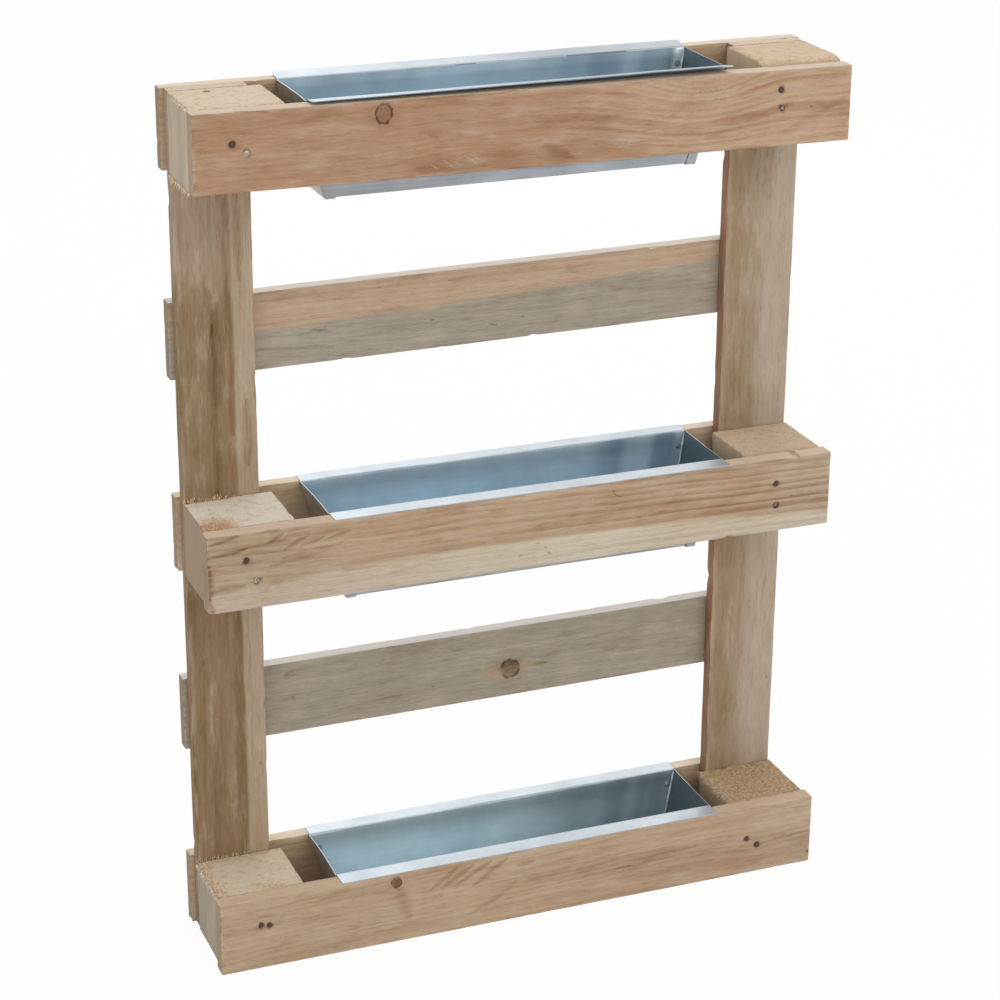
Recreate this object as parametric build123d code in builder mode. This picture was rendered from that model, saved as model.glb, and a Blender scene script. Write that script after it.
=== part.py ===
from build123d import *
from math import radians, tan
import os

# An upright half pallet with three sheet-metal planting troughs hung in its rows.
# X runs along the boards, Y from the front boards to the rear slats, Z up from the floor.
# The origin is on the floor, midway along the boards and midway through the depth.

# Wooden frame, in millimetres
frame_width = 600.0
frame_height = 800.0
row_height = 72.0
middle_row_top = 432.0
front_board_thickness = 17.0
block_depth = 71.0
left_block_width = 82.0
right_block_width = 78.0
block_inset = 3.0
upright_width = 70.0
upright_thickness = 14.0
upright_inset = 4.0
slat_thickness = 14.0
sawn_edge = 0.6

# Nails
nail_shank_diameter = 3.0
nail_head_diameter = 6.4
nail_head_thickness = 1.0
nail_tip_length = 4.0
nail_hole_clearance = 0.1
front_nail_bite = 33.0
row_nail_bite = 32.0
slat_nail_stop = 3.0
rear_nail_spread_across = 28.0
rear_nail_spread_up = 32.0

# Troughs
sheet = 0.8
bend_radius = 1.2
trough_end_gap = 27.0
trough_depth = 88.0
bottom_trough_floor_clearance = 3.0
long_wall_lean = 12.0
end_wall_lean = 19.0
long_wall_clearance = 2.0
flange_setback = 0.5
top_flange_angle = 10.5
end_tab_width = 9.0
end_tab_drop = 6.0
seam_gap = 0.1
top_trough_shift = -9.0
middle_trough_shift = 4.0
bottom_trough_shift = 5.0

# Rivets that hold the end pans
rivet_diameter = 3.0
rivet_head_diameter = 5.6
rivet_head_height = 1.0
rivet_drop = 14.0
rivet_hole_clearance = 0.1

# Layers of the frame from front to back
frame_depth = front_board_thickness + block_depth + upright_thickness + slat_thickness
front_face = -frame_depth / 2
block_front = front_face + front_board_thickness
upright_front = block_front + block_depth
slat_front = upright_front + upright_thickness
rear_face = slat_front + slat_thickness

# Left and right edges of what stands at the two ends
left_end = -frame_width / 2
right_end = frame_width / 2
block_edges = {
    "left": (left_end + block_inset, left_end + block_inset + left_block_width),
    "right": (right_end - block_inset - right_block_width, right_end - block_inset),
}
upright_edges = {
    "left": (left_end + upright_inset, left_end + upright_inset + upright_width),
    "right": (right_end - upright_inset - upright_width, right_end - upright_inset),
}

# Top edge of each row, and of the two slats that stand between the rows
row_tops = {"top": frame_height, "middle": middle_row_top, "bottom": row_height}
slat_tops = {
    "top": row_tops["top"],
    "upper": (row_tops["top"] + row_tops["middle"]) / 2,
    "middle": row_tops["middle"],
    "lower": (row_tops["middle"] + row_tops["bottom"]) / 2,
    "bottom": row_tops["bottom"],
}

# Where the front nails sit, from the middle of the block, across and up
front_nail_spots = {
    ("top", "left"): ((-10.0, 9.0), (2.0, 0.0)),
    ("top", "right"): ((-27.0, 14.0), (-25.0, -2.0)),
    ("middle", "left"): ((-9.0, 10.0), (0.0, -10.0)),
    ("middle", "right"): ((-14.0, 11.0), (-13.0, -11.0)),
    ("bottom", "left"): ((-8.0, 9.0), (2.0, 7.0)),
    ("bottom", "right"): ((-28.0, 2.0), (-16.0, -7.0)),
}

# Troughs fill the bay between the blocks, less a gap at each end
bay_left = block_edges["left"][1]
bay_right = block_edges["right"][0]
bay_middle = (bay_left + bay_right) / 2
trough_length = bay_right - bay_left - 2 * trough_end_gap
trough_middles = {
    "top": bay_middle + top_trough_shift,
    "middle": bay_middle + middle_trough_shift,
    "bottom": bay_middle + bottom_trough_shift,
}
trough_depths = {
    "top": trough_depth,
    "middle": trough_depth,
    "bottom": row_height - bottom_trough_floor_clearance,
}
front_wall_top = block_front + long_wall_clearance
rear_wall_top = slat_front - long_wall_clearance

# The top trough's flanges stand up from level by an angle in degrees and rest on the boards' inner edges
flange_slopes = {"top": tan(radians(top_flange_angle)), "middle": 0.0, "bottom": 0.0}
flange_rest = long_wall_clearance + sawn_edge
trough_tops = {row: row_tops[row] - flange_rest * flange_slopes[row] for row in row_tops}
end_side = {"left": -1, "right": 1}

nail_hole_radius = nail_shank_diameter / 2 + nail_hole_clearance
nail_recess_radius = nail_head_diameter / 2 + nail_hole_clearance
rivet_hole_radius = rivet_diameter / 2 + rivet_hole_clearance
rivet_grip = 2 * sheet + seam_gap


def middle_of(edges):
    """Midpoint between two edges."""
    return (edges[0] + edges[1]) / 2


def front_nail_planes(row, side, y):
    """Planes at a block's front nails, at depth y, that face the front."""
    x_middle = middle_of(block_edges[side])
    z_middle = row_tops[row] - row_height / 2
    return [
        Plane(origin=(x_middle + across, y, z_middle + up), z_dir=(0, -1, 0))
        for across, up in front_nail_spots[(row, side)]
    ]


def rear_nail_planes(slat, side, y):
    """Planes at the two nails of a slat on an upright, at depth y, that face the back."""
    x_middle = middle_of(upright_edges[side])
    z_middle = slat_tops[slat] - row_height / 2
    return [
        Plane(
            origin=(
                x_middle + turn * rear_nail_spread_across / 2,
                y,
                z_middle + turn * rear_nail_spread_up / 2,
            ),
            z_dir=(0, 1, 0),
        )
        for turn in (-1, 1)
    ]


def sawn_timber(x_edges, y_edges, z_edges):
    """A sawn length of timber with its edges just broken."""
    with BuildPart() as timber:
        with BuildSketch(Plane.XY.offset(z_edges[0])):
            with Locations((middle_of(x_edges), middle_of(y_edges))):
                Rectangle(x_edges[1] - x_edges[0], y_edges[1] - y_edges[0])
        extrude(amount=z_edges[1] - z_edges[0])
        chamfer(timber.edges(), length=sawn_edge)
    return timber.part


def save(piece, name):
    """Name a finished piece and write it out."""
    piece.part.label = name
    export_step(piece.part, f"parts/{name}.step")


def front_board(row):
    """A front board, recessed for the heads of its nails."""
    timber = sawn_timber(
        (left_end, right_end),
        (front_face, block_front),
        (row_tops[row] - row_height, row_tops[row]),
    )
    with BuildPart() as board:
        add(timber)
        for side in block_edges:
            with Locations(*front_nail_planes(row, side, front_face)):
                CounterBoreHole(nail_hole_radius, nail_recess_radius, nail_head_thickness)
    return board


def spacer_block(row, side):
    """A block between front board and upright, with a hole for each nail that bites in it."""
    timber = sawn_timber(
        block_edges[side],
        (block_front, upright_front),
        (row_tops[row] - row_height, row_tops[row]),
    )
    with BuildPart() as block:
        add(timber)
        with Locations(*front_nail_planes(row, side, block_front)):
            Hole(nail_hole_radius, depth=front_nail_bite + nail_hole_clearance)
        with Locations(*rear_nail_planes(row, side, upright_front)):
            Hole(nail_hole_radius, depth=row_nail_bite + nail_hole_clearance)
    return block


def upright(side):
    """A full-height board that carries the blocks in front and the slats behind."""
    timber = sawn_timber(upright_edges[side], (upright_front, slat_front), (0, frame_height))
    with BuildPart() as board:
        add(timber)
        for slat in slat_tops:
            with Locations(*rear_nail_planes(slat, side, slat_front)):
                if slat in row_tops:
                    Hole(nail_hole_radius)
                else:
                    stop = upright_thickness - slat_nail_stop + nail_hole_clearance
                    Hole(nail_hole_radius, depth=stop)
    return board


def rear_slat(slat):
    """A slat across the back, recessed for the heads of its nails."""
    timber = sawn_timber(
        (left_end, right_end),
        (slat_front, rear_face),
        (slat_tops[slat] - row_height, slat_tops[slat]),
    )
    with BuildPart() as board:
        add(timber)
        for side in upright_edges:
            with Locations(*rear_nail_planes(slat, side, rear_face)):
                CounterBoreHole(nail_hole_radius, nail_recess_radius, nail_head_thickness)
    return board


def nail(length):
    """One nail pointing down from the origin, its head flush with the plane above it."""
    with BuildPart() as one_nail:
        with BuildSketch(Plane.XZ):
            with BuildLine():
                Polyline(
                    (0, 0),
                    (nail_head_diameter / 2, 0),
                    (nail_head_diameter / 2, -nail_head_thickness),
                    (nail_shank_diameter / 2, -nail_head_thickness),
                    (nail_shank_diameter / 2, nail_tip_length - length),
                    (0, -length),
                    close=True,
                )
            make_face()
        revolve(axis=Axis.Z)
    return one_nail.part


def nail_group(length, planes):
    """Like nails, one at each plane."""
    one_nail = nail(length)
    with BuildPart() as nails:
        with Locations(*planes):
            add(one_nail)
    return nails


def wall_lines(row):
    """Outline of a trough's outside below its flanges, as front top, front base, rear base, rear top."""
    top = trough_tops[row]
    base = top - trough_depths[row]
    return (
        (front_wall_top, top),
        (front_wall_top + long_wall_lean, base),
        (rear_wall_top - long_wall_lean, base),
        (rear_wall_top, top),
    )


def end_plane(row, side):
    """Sloping plane on which one end of a trough's channel is cut, facing outwards."""
    turn = end_side[side]
    return Plane(
        origin=(trough_middles[row] + turn * trough_length / 2, 0, trough_tops[row]),
        x_dir=(0, 1, 0),
        z_dir=(turn * trough_depths[row], 0, -end_wall_lean),
    )


def rivet_planes(row, side):
    """Planes on the outside of an end pan's side folds, one at the front and one at the rear."""
    turn = end_side[side]
    share = rivet_drop / trough_depths[row]
    x = (
        trough_middles[row]
        + turn * (trough_length / 2 - end_wall_lean * share - end_tab_width / 2)
    )
    z = trough_tops[row] - rivet_drop
    fold_face = sheet + seam_gap
    planes = []
    for facing, y_top in ((-1, front_wall_top), (1, rear_wall_top)):
        on_wall = (x, y_top - facing * long_wall_lean * share, z)
        wall_plane = Plane(origin=on_wall, z_dir=(0, facing * trough_depths[row], -long_wall_lean))
        planes.append(wall_plane.offset(fold_face))
    return planes


def trough_channel(row):
    """Front flange, front wall, base, rear wall and rear flange, folded from one sheet."""
    top = trough_tops[row]
    slope = flange_slopes[row]
    front_edge = front_face + flange_setback
    rear_edge = rear_face - flange_setback
    outer_bend = bend_radius + sheet
    with BuildPart() as channel:
        with BuildSketch(Plane.YZ.offset(trough_middles[row] - trough_length)):
            with BuildLine():
                FilletPolyline(
                    (front_edge, top + slope * (front_wall_top - front_edge)),
                    *wall_lines(row),
                    (rear_edge, top + slope * (rear_edge - rear_wall_top)),
                    radius=(bend_radius, outer_bend, outer_bend, bend_radius),
                )
                offset(amount=sheet, side=Side.LEFT)
            make_face()
        extrude(amount=2 * trough_length)
        for side in end_side:
            split(bisect_by=end_plane(row, side), keep=Keep.BOTTOM)
        for side in end_side:
            with Locations(*rivet_planes(row, side)):
                Hole(rivet_hole_radius, depth=2 * rivet_grip)
    return channel


def pan_hollow(row, side):
    """The room inside an end pan, up to the sloping end of the channel and over its side folds."""
    top = trough_tops[row]
    head_room = end_tab_drop + 2 * sheet
    fold_height = top - end_tab_drop
    with BuildPart() as hollow:
        with BuildSketch(Plane.YZ.offset(trough_middles[row] - trough_length)):
            with BuildLine():
                Polyline(*wall_lines(row), close=True)
            make_face()
            offset(amount=seam_gap, kind=Kind.INTERSECTION)
            with Locations((middle_of((front_face, rear_face)), fold_height + head_room / 2)):
                Rectangle(frame_depth, head_room)
        extrude(amount=2 * trough_length)
        split(bisect_by=end_plane(row, side), keep=Keep.BOTTOM)
    return hollow.part


def trough_end(row, side):
    """A sloping end plate with its front, base and rear edges folded over the channel."""
    slope = end_plane(row, side)
    hollow = pan_hollow(row, side)
    with BuildPart() as pan:
        with BuildSketch(Plane.YZ.offset(trough_middles[row] - trough_length)):
            with BuildLine():
                Polyline(*wall_lines(row), close=True)
            make_face()
            offset(amount=seam_gap + sheet, kind=Kind.INTERSECTION)
        extrude(amount=2 * trough_length)
        split(bisect_by=slope.offset(sheet), keep=Keep.BOTTOM)
        split(bisect_by=slope.offset(-end_tab_width), keep=Keep.TOP)
        add(hollow, mode=Mode.SUBTRACT)
        with Locations(*rivet_planes(row, side)):
            Hole(rivet_hole_radius, depth=rivet_grip)
    return pan


def rivet():
    """One rivet with a low domed head at each end, its outer head standing on the plane."""
    shank = rivet_diameter / 2
    head = rivet_head_diameter / 2
    dome_radius = (head**2 + rivet_head_height**2) / (2 * rivet_head_height)
    outer_crown = (0, rivet_head_height)
    inner_crown = (0, -rivet_grip - rivet_head_height)
    with BuildPart() as one_rivet:
        with BuildSketch(Plane.XZ):
            with BuildLine():
                Line(outer_crown, inner_crown)
                RadiusArc(inner_crown, (head, -rivet_grip), -dome_radius)
                Polyline((head, -rivet_grip), (shank, -rivet_grip), (shank, 0), (head, 0))
                RadiusArc((head, 0), outer_crown, -dome_radius)
            make_face()
        revolve(axis=Axis.Z)
    return one_rivet.part


def trough_rivets(row):
    """The four rivets of a trough, two at each end."""
    one_rivet = rivet()
    with BuildPart() as rivets:
        for side in end_side:
            with Locations(*rivet_planes(row, side)):
                add(one_rivet)
    return rivets


os.makedirs("parts", exist_ok=True)

for row in row_tops:
    save(front_board(row), f"front_board_{row}")
    for side in block_edges:
        save(spacer_block(row, side), f"block_{row}_{side}")

for side in upright_edges:
    save(upright(side), f"upright_{side}")

for slat in slat_tops:
    save(rear_slat(slat), f"rear_slat_{slat}")

front_planes = []
row_planes = []
slat_planes = []
for side in block_edges:
    for row in row_tops:
        front_planes += front_nail_planes(row, side, front_face)
    for slat in slat_tops:
        if slat in row_tops:
            row_planes += rear_nail_planes(slat, side, rear_face)
        else:
            slat_planes += rear_nail_planes(slat, side, rear_face)

save(nail_group(front_board_thickness + front_nail_bite, front_planes), "front_nails")
save(nail_group(slat_thickness + upright_thickness + row_nail_bite, row_planes), "row_nails")
save(nail_group(slat_thickness + upright_thickness - slat_nail_stop, slat_planes), "slat_nails")

for row in row_tops:
    save(trough_channel(row), f"trough_{row}_channel")
    for side in end_side:
        save(trough_end(row, side), f"trough_{row}_end_{side}")
    save(trough_rivets(row), f"trough_{row}_rivets")
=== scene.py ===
"""Looks of an upright pallet herb planter with three lift-out zinc troughs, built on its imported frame."""

import math
import random
from contextlib import contextmanager
from functools import partialmethod
from types import SimpleNamespace

import bmesh
import bpy
from mathutils import Euler, Matrix, Vector, noise


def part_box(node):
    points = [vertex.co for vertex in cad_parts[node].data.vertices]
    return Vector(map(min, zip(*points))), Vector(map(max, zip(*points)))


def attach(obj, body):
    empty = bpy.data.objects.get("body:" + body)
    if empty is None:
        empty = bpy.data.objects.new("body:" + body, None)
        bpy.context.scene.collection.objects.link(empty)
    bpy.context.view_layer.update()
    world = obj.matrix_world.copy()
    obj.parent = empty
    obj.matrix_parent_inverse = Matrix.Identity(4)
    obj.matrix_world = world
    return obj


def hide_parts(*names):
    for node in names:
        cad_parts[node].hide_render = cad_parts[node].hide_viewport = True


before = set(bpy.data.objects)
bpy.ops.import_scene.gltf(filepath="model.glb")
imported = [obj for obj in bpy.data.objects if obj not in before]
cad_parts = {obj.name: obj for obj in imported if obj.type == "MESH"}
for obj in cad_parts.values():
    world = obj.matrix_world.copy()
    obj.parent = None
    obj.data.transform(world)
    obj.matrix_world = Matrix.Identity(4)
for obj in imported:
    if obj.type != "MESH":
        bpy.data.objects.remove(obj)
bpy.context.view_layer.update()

bl_info = {
    "name": "Pallet Herb Planter",
    "version": (1, 0, 0),
    "blender": (4, 5, 0),
    "location": "3D View > Sidebar > Planter",
    "description": "Models the sawn timber, zinc troughs, nails and stage of a pallet herb planter",
    "category": "Add Mesh",
}

row_names = ("top", "middle", "bottom")
side_names = ("left", "right")
slat_names = ("top", "upper", "middle", "lower", "bottom")
inward_step = {"left": 1, "right": -1}
axes = (Vector((1, 0, 0)), Vector((0, 1, 0)), Vector((0, 0, 1)))
frontwards = -axes[1]
backwards = axes[1]
upright_fibres = (0, math.radians(90), 0)
full_turn = 6.28
half_board = 300.0
white = (1, 1, 1, 1)
edge_zone = 0.004
dent_zone = 0.006
head_spread = 0.009
flush = 0.0002


def length(name, description, default):
    return bpy.props.FloatProperty(name=name, description=description, default=default, unit="LENGTH")


def angle(name, description, degrees):
    return bpy.props.FloatProperty(
        name=name, description=description, default=math.radians(degrees), subtype="ANGLE"
    )


def power(name, description, default):
    return bpy.props.FloatProperty(name=name, description=description, default=default, unit="POWER", min=0)


def screen_colour(name, description, default):
    return bpy.props.FloatVectorProperty(
        name=name, description=description, default=default, subtype="COLOR_GAMMA", min=0, max=1
    )


class PlanterTimber(bpy.types.PropertyGroup):
    """Sizes of the rough sawn timber's surface."""

    board_cell: length("Board Cell", "Spacing of the mesh across a board", 0.004)
    fibre_cell: length("Fibre Cell", "Spacing of the mesh along a board", 0.006)
    block_cell: length("Block Cell", "Spacing of the mesh on a spacer block", 0.003)
    arris: length("Arris", "Width of the worn edges of the timber", 0.0014)
    sawn_depth: length("Sawn Depth", "How far the sawn faces wander inwards", 0.0004)
    sawn_grain: length("Sawn Grain", "Size of the waves in the sawn faces", 0.045)
    chip_depth: length("Chip Depth", "How deep the edges are chipped", 0.0015)
    chip_reach: length("Chip Reach", "How far in from an edge the wear shows", 0.007)
    end_grain_depth: length("End Grain Depth", "Depth of the rough end grain on the blocks", 0.0012)
    dent_radius: length("Dent Radius", "Radius of the hollow that a driven nail leaves", 0.0042)
    dent_depth: length("Dent Depth", "Depth of the hollow that a driven nail leaves", 0.0023)
    dent_surround: length("Dent Surround", "Reach of the finer mesh round a driven nail", 0.016)
    hole_radius: length("Hole Radius", "Radius of an old nail hole in a block", 0.0030)
    hole_depth: length("Hole Depth", "Depth of an old nail hole in a block", 0.005)
    hole_surround: length("Hole Surround", "Reach of the finer mesh round an old nail hole", 0.006)


class PlanterTrough(bpy.types.PropertyGroup):
    """Sizes of the folded zinc troughs."""

    sheet: length("Sheet", "Thickness of the zinc sheet", 0.0008)
    bend: length("Bend", "Radius of the folds", 0.0016)
    pan_bend: length("Pan Bend", "Radius of the folds of an end wall", 0.0009)
    long_wall_lean: length("Long Wall Lean", "How far each long wall leans in at its base", 0.012)
    end_wall_lean: length("End Wall Lean", "How far each end wall leans in at its base", 0.019)
    wall_clearance: length("Wall Clearance", "Gap between a long wall and the board beside it", 0.002)
    end_fold: length("End Fold", "Width of the folds round the edges of an end wall", 0.009)
    flange_angle: angle("Flange Angle", "How far the top trough's flanges stand up from level", 10.5)
    seam_gap: length("Seam Gap", "Gap between a channel and the folds of an end wall", 0.00015)
    seam_width: length("Seam Width", "Width of the solder in the inside corners", 0.0036)
    ripple: length("Ripple", "How far the thin sheet wanders from flat", 0.0009)
    ripple_grain: length("Ripple Grain", "Size of the waves in the thin sheet", 0.05)
    sag: length("Sag", "How far the flanges sag at most", 0.0005)
    belly: length("Belly", "How far an end wall bulges inwards", 0.0012)
    end_wall_rise: length("End Wall Rise", "How far an end wall stands over the rim", 0.0009)


class PlanterNails(bpy.types.PropertyGroup):
    """Sizes of the driven nails."""

    head_radius: length("Head Radius", "Radius of a nail head", 0.0027)
    head_thickness: length("Head Thickness", "Thickness of a nail head at its rim", 0.0012)
    rim: length("Rim", "Width of the rolled rim of a head", 0.0009)
    dome: length("Dome", "Height of the dome over the rim", 0.00025)
    crown: length("Crown", "Width of the slope up to the top of the dome", 0.0010)
    crown_rise: length("Crown Rise", "Height of the top of the dome over its slope", 0.0001)
    shoulder: length("Shoulder", "How far a head stands out past its shank", 0.0015)
    shank: length("Shank", "Length of the shank that shows", 0.012)
    worn_edge: length("Worn Edge", "Width of the worn edges of a head", 0.00025)
    sunk: length("Sunk", "How deep a head is driven at least", 0.0014)
    sunk_more: length("Sunk More", "How much deeper a head may be driven", 0.0007)
    askew: angle("Askew", "How far a head may tilt each way", 9.1673)


class PlanterColours(bpy.types.PropertyGroup):
    """Colours of the timber, zinc and nails."""

    early_wood: screen_colour("Early Wood", "Pale part of a growth ring", (0.715, 0.57, 0.46))
    late_wood: screen_colour("Late Wood", "Dark line that closes a growth ring", (0.60, 0.435, 0.31))
    ruddy_wood: screen_colour("Ruddy Wood", "Warm flames in the heartwood", (0.68, 0.50, 0.375))
    # Fresh Edge is also the default colour of the painted highlight on the upward faces of the boards.
    fresh_edge: screen_colour("Fresh Edge", "Pale cream of rubbed or fresh edges", (0.89, 0.815, 0.73))
    sapwood: screen_colour("Sapwood", "Cream wood from under the bark", (0.785, 0.745, 0.665))
    weathered_wood: screen_colour("Weathered Wood", "Grey of wood kept outdoors", (0.625, 0.59, 0.525))
    end_grain: screen_colour("End Grain", "Sawn ends of the blocks", (0.785, 0.725, 0.64))
    torn_fibre: screen_colour("Torn Fibre", "Coarse torn fibres on the sawn ends", (0.75, 0.635, 0.49))
    knot: screen_colour("Knot", "Heart of a knot", (0.50, 0.36, 0.26))
    bark_ring: screen_colour("Bark Ring", "Dark ring round a knot, and stains", (0.27, 0.19, 0.14))
    zinc: screen_colour("Zinc", "Galvanised sheet", (0.725, 0.765, 0.785))
    dull_zinc: screen_colour("Dull Zinc", "Darker crystals of the sheet", (0.625, 0.675, 0.695))
    nail: screen_colour("Nail", "Bright steel of the nail heads", (0.74, 0.71, 0.69))
    nail_rust: screen_colour("Nail Rust", "Dark oxide on the nail heads", (0.31, 0.23, 0.18))


class PlanterStage(bpy.types.PropertyGroup):
    """Camera, lamps and floor."""

    azimuth: angle("Azimuth", "Turn of the camera round the planter from straight in front", -21.604)
    elevation: angle("Elevation", "Height of the camera over the level view", 21.769)
    roll: angle("Roll", "Tilt of the camera about its own line of sight", 0.399)
    distance: length("Distance", "From the camera to the point it aims at", 2.4036)
    aim: bpy.props.FloatVectorProperty(
        name="Aim",
        description="Point on the front of the planter at the middle of the picture",
        default=(-0.0308, -0.058, 0.4299),
        subtype="XYZ",
    )
    lens: bpy.props.FloatProperty(
        name="Lens",
        description="Focal length of the camera in millimetres on a 36 mm sensor",
        default=97.58,
        min=1,
    )
    ambient: bpy.props.FloatProperty(
        name="Ambient",
        description="Strength of the even light from all round",
        default=0.80,
        min=0,
    )
    key_power: power("Key Power", "Power of the large soft lamp above the front", 36.0)
    rear_power: power("Rear Power", "Power of the soft lamp above the back, which flanges mirror", 16.0)
    fill_power: power("Fill Power", "Power of the soft lamp at the left", 8.0)
    floor_size: length("Floor Size", "Length of each side of the floor", 40.0)


def timber_sizes():
    return bpy.context.scene.planter_timber


def trough_sizes():
    return bpy.context.scene.planter_trough


def colours():
    return bpy.context.scene.planter_colours


def linear(colour):
    """A screen colour as the linear colour that a shader takes."""
    return (*[c / 12.92 if c <= 0.04045 else ((c + 0.055) / 1.055) ** 2.4 for c in colour], 1.0)


def tinted(colour, tint):
    """A screen colour multiplied by a tint, as a linear colour."""
    return linear([min(1.0, part * share) for part, share in zip(colour, tint)])


def shade(colour, lightness, warmth=0.0):
    """A screen colour made lighter or darker, and warmer or cooler, as a linear colour."""
    return tinted(colour, (lightness * (1 + warmth), lightness, lightness * (1 - warmth)))


def keep_piece(piece, body, slot, *nodes):
    """Lets a finished piece ride on a body and stand for its CAD nodes, which it hides; the slot is not
    used.
    """
    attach(piece, body)
    if nodes:
        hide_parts(*nodes)


def dress(piece, material):
    """Gives a piece one material."""
    piece.data.materials.clear()
    piece.data.materials.append(material)


def only(piece):
    """Selects one piece and makes it the active one."""
    bpy.ops.object.select_all(action="DESELECT")
    piece.select_set(True)
    bpy.context.view_layer.objects.active = piece


@contextmanager
def editing(piece):
    """Opens a piece in edit mode."""
    only(piece)
    bpy.ops.object.mode_set(mode="EDIT")
    yield
    bpy.ops.object.mode_set(mode="OBJECT")


def add_piece(name, add_shape, **sizes):
    """Adds a mesh of a basic shape, with its place put into its points."""
    bpy.ops.object.select_all(action="DESELECT")
    add_shape(**sizes)
    piece = bpy.context.object
    piece.name = name
    piece.data.name = name
    bpy.ops.object.transform_apply(location=True, rotation=True, scale=True)
    return piece


def join_all(name, pieces):
    """Joins pieces into one object."""
    only(pieces[0])
    for piece in pieces:
        piece.select_set(True)
    bpy.ops.object.join()
    joined = bpy.context.object
    joined.name = name
    joined.data.name = name
    return joined


def pick(piece, kind, test):
    """In edit mode, selects only the edges or faces of a piece that pass a test."""
    bpy.ops.mesh.select_mode(type=kind)
    bpy.ops.mesh.select_all(action="DESELECT")
    mesh = bmesh.from_edit_mesh(piece.data)
    mesh.normal_update()
    chosen = [part for part in (mesh.edges if kind == "EDGE" else mesh.faces) if test(part)]
    for part in chosen:
        part.select_set(True)
    bmesh.update_edit_mesh(piece.data)
    if not chosen:
        raise RuntimeError(f"nothing to select on {piece.name}")


def cut_up(piece, kind, test, cuts):
    """In edit mode, subdivides the edges or faces of a piece that pass a test."""
    pick(piece, kind, test)
    bpy.ops.mesh.subdivide(number_cuts=cuts)


def runs_along(direction):
    """A test for edges that are parallel to a direction."""

    def test(edge):
        run = edge.verts[1].co - edge.verts[0].co
        return abs(run.dot(direction)) > 0.999 * run.length

    return test


def at_level(axis, level, reach=flush):
    """A test for edges with both ends at one level on an axis."""
    return lambda edge: all(abs(vertex.co[axis] - level) < reach for vertex in edge.verts)


def is_fold(edge):
    """A test for edges between two faces of a sheet."""
    return len(edge.link_faces) == 2


def slice_along(piece, axis, cell):
    """Cuts a piece across an axis into slices about one cell long."""
    levels = [vertex.co[axis] for vertex in piece.data.vertices]
    cuts = min(100, max(1, round((max(levels) - min(levels)) / cell) - 1))
    with editing(piece):
        cut_up(piece, "EDGE", runs_along(axes[axis]), cuts)


def shape_by(piece, name, kind, **settings):
    """Lets a modifier shape a piece for good."""
    only(piece)
    modifier = piece.modifiers.new(name, kind)
    for setting, value in settings.items():
        setattr(modifier, setting, value)
    bpy.ops.object.modifier_apply(modifier=modifier.name)


def round_edges(piece, width):
    """Rounds the sharp edges of a piece."""
    sharp = math.radians(50)
    shape_by(piece, "Arris", "BEVEL", width=width, segments=2, limit_method="ANGLE", angle_limit=sharp)


def wander_inwards(piece, depth, grain, middle=1.0, group=""):
    """Lets the faces of a piece wander along their normals by a soft noise."""
    clouds = bpy.data.textures.new(piece.name + "_wander", "CLOUDS")
    clouds.noise_scale = grain
    clouds.noise_depth = 2
    shape_by(
        piece,
        "Wander",
        "DISPLACE",
        texture=clouds,
        texture_coords="LOCAL",
        strength=depth,
        mid_level=middle,
        vertex_group=group,
    )
    bpy.data.textures.remove(clouds)


def smooth(piece, degrees=35):
    """Shades a piece smooth up to an angle."""
    only(piece)
    bpy.ops.object.shade_smooth_by_angle(angle=math.radians(degrees))


def write_attribute(piece, name, domain, values):
    """Stores one number for each point or face of a piece."""
    layer = piece.data.attributes.new(name, "FLOAT", domain)
    layer.data.foreach_set("value", values)


def sawn_timber(node, cell, fibre_axis):
    """A sawn timber in place of a CAD node, sliced, with worn edges and faces that wander inwards."""
    sizes = timber_sizes()
    low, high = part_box(node)
    add_cube = bpy.ops.mesh.primitive_cube_add
    timber = add_piece("sawn_" + node, add_cube, size=1, location=(low + high) / 2, scale=high - low)
    for axis in range(3):
        along_board = axis == fibre_axis and cell > sizes.block_cell
        slice_along(timber, axis, sizes.fibre_cell if along_board else cell)
    round_edges(timber, sizes.arris)
    wander_inwards(timber, sizes.sawn_depth, sizes.sawn_grain)
    return timber


def chip_edges(timber, low, high, depth, seed):
    """Chips the edges of a timber unevenly, and marks how near each point is to an edge."""
    middle = (low + high) / 2
    shift = Vector((seed, 3 * seed, 7 * seed))
    reach = timber_sizes().chip_reach
    wear = []
    for vertex in timber.data.vertices:
        gaps = [min(vertex.co[i] - low[i], high[i] - vertex.co[i]) for i in range(3)]
        near = max(0.0, 1.0 - max(0.0, sorted(gaps)[1]) / reach)
        wear.append(near)
        if near > 0.05:
            bite = 2.4 * max(0.0, noise.fractal(vertex.co * 70 + shift, 0.8, 2.1, 3) - 0.5)
            bite += 0.10 * abs(noise.noise(vertex.co * 320))
            inwards = [math.copysign(gaps[i] < edge_zone, middle[i] - vertex.co[i]) for i in range(3)]
            vertex.co += Vector(inwards) * (depth * near * min(1.0, bite))
    write_attribute(timber, "arris", "POINT", wear)


def settle(timber, low, high, left, right, narrowed):
    """Shifts the ends of a timber up, in millimetres, and draws its lower edge up towards the upper one."""
    for vertex in timber.data.vertices:
        share = (vertex.co.x - low.x) / (high.x - low.x)
        under = (high.z - vertex.co.z) / (high.z - low.z)
        vertex.co.z += (left + (right - left) * share + narrowed * under) / 1000


def break_corners(timber, low, high, chips):
    """Breaks pieces off the front edges of a board; each is given along, up, as a reach and as a depth."""
    middle = (low + high) / 2
    for along, up, reach, depth in chips:
        spot = Vector((middle.x + along / 1000, low.y, middle.z + up / 1000))
        at_end = abs(along) > half_board - 10
        inwards = Vector((math.copysign(0.7, -along) if at_end else 0, 0.6, math.copysign(1.0, -up)))
        for vertex in timber.data.vertices:
            share = 1.0 - (vertex.co - spot).length / reach
            if share > 0:
                vertex.co += inwards * (depth * share * (0.8 + 0.5 * noise.noise(vertex.co * 240)))


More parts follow.
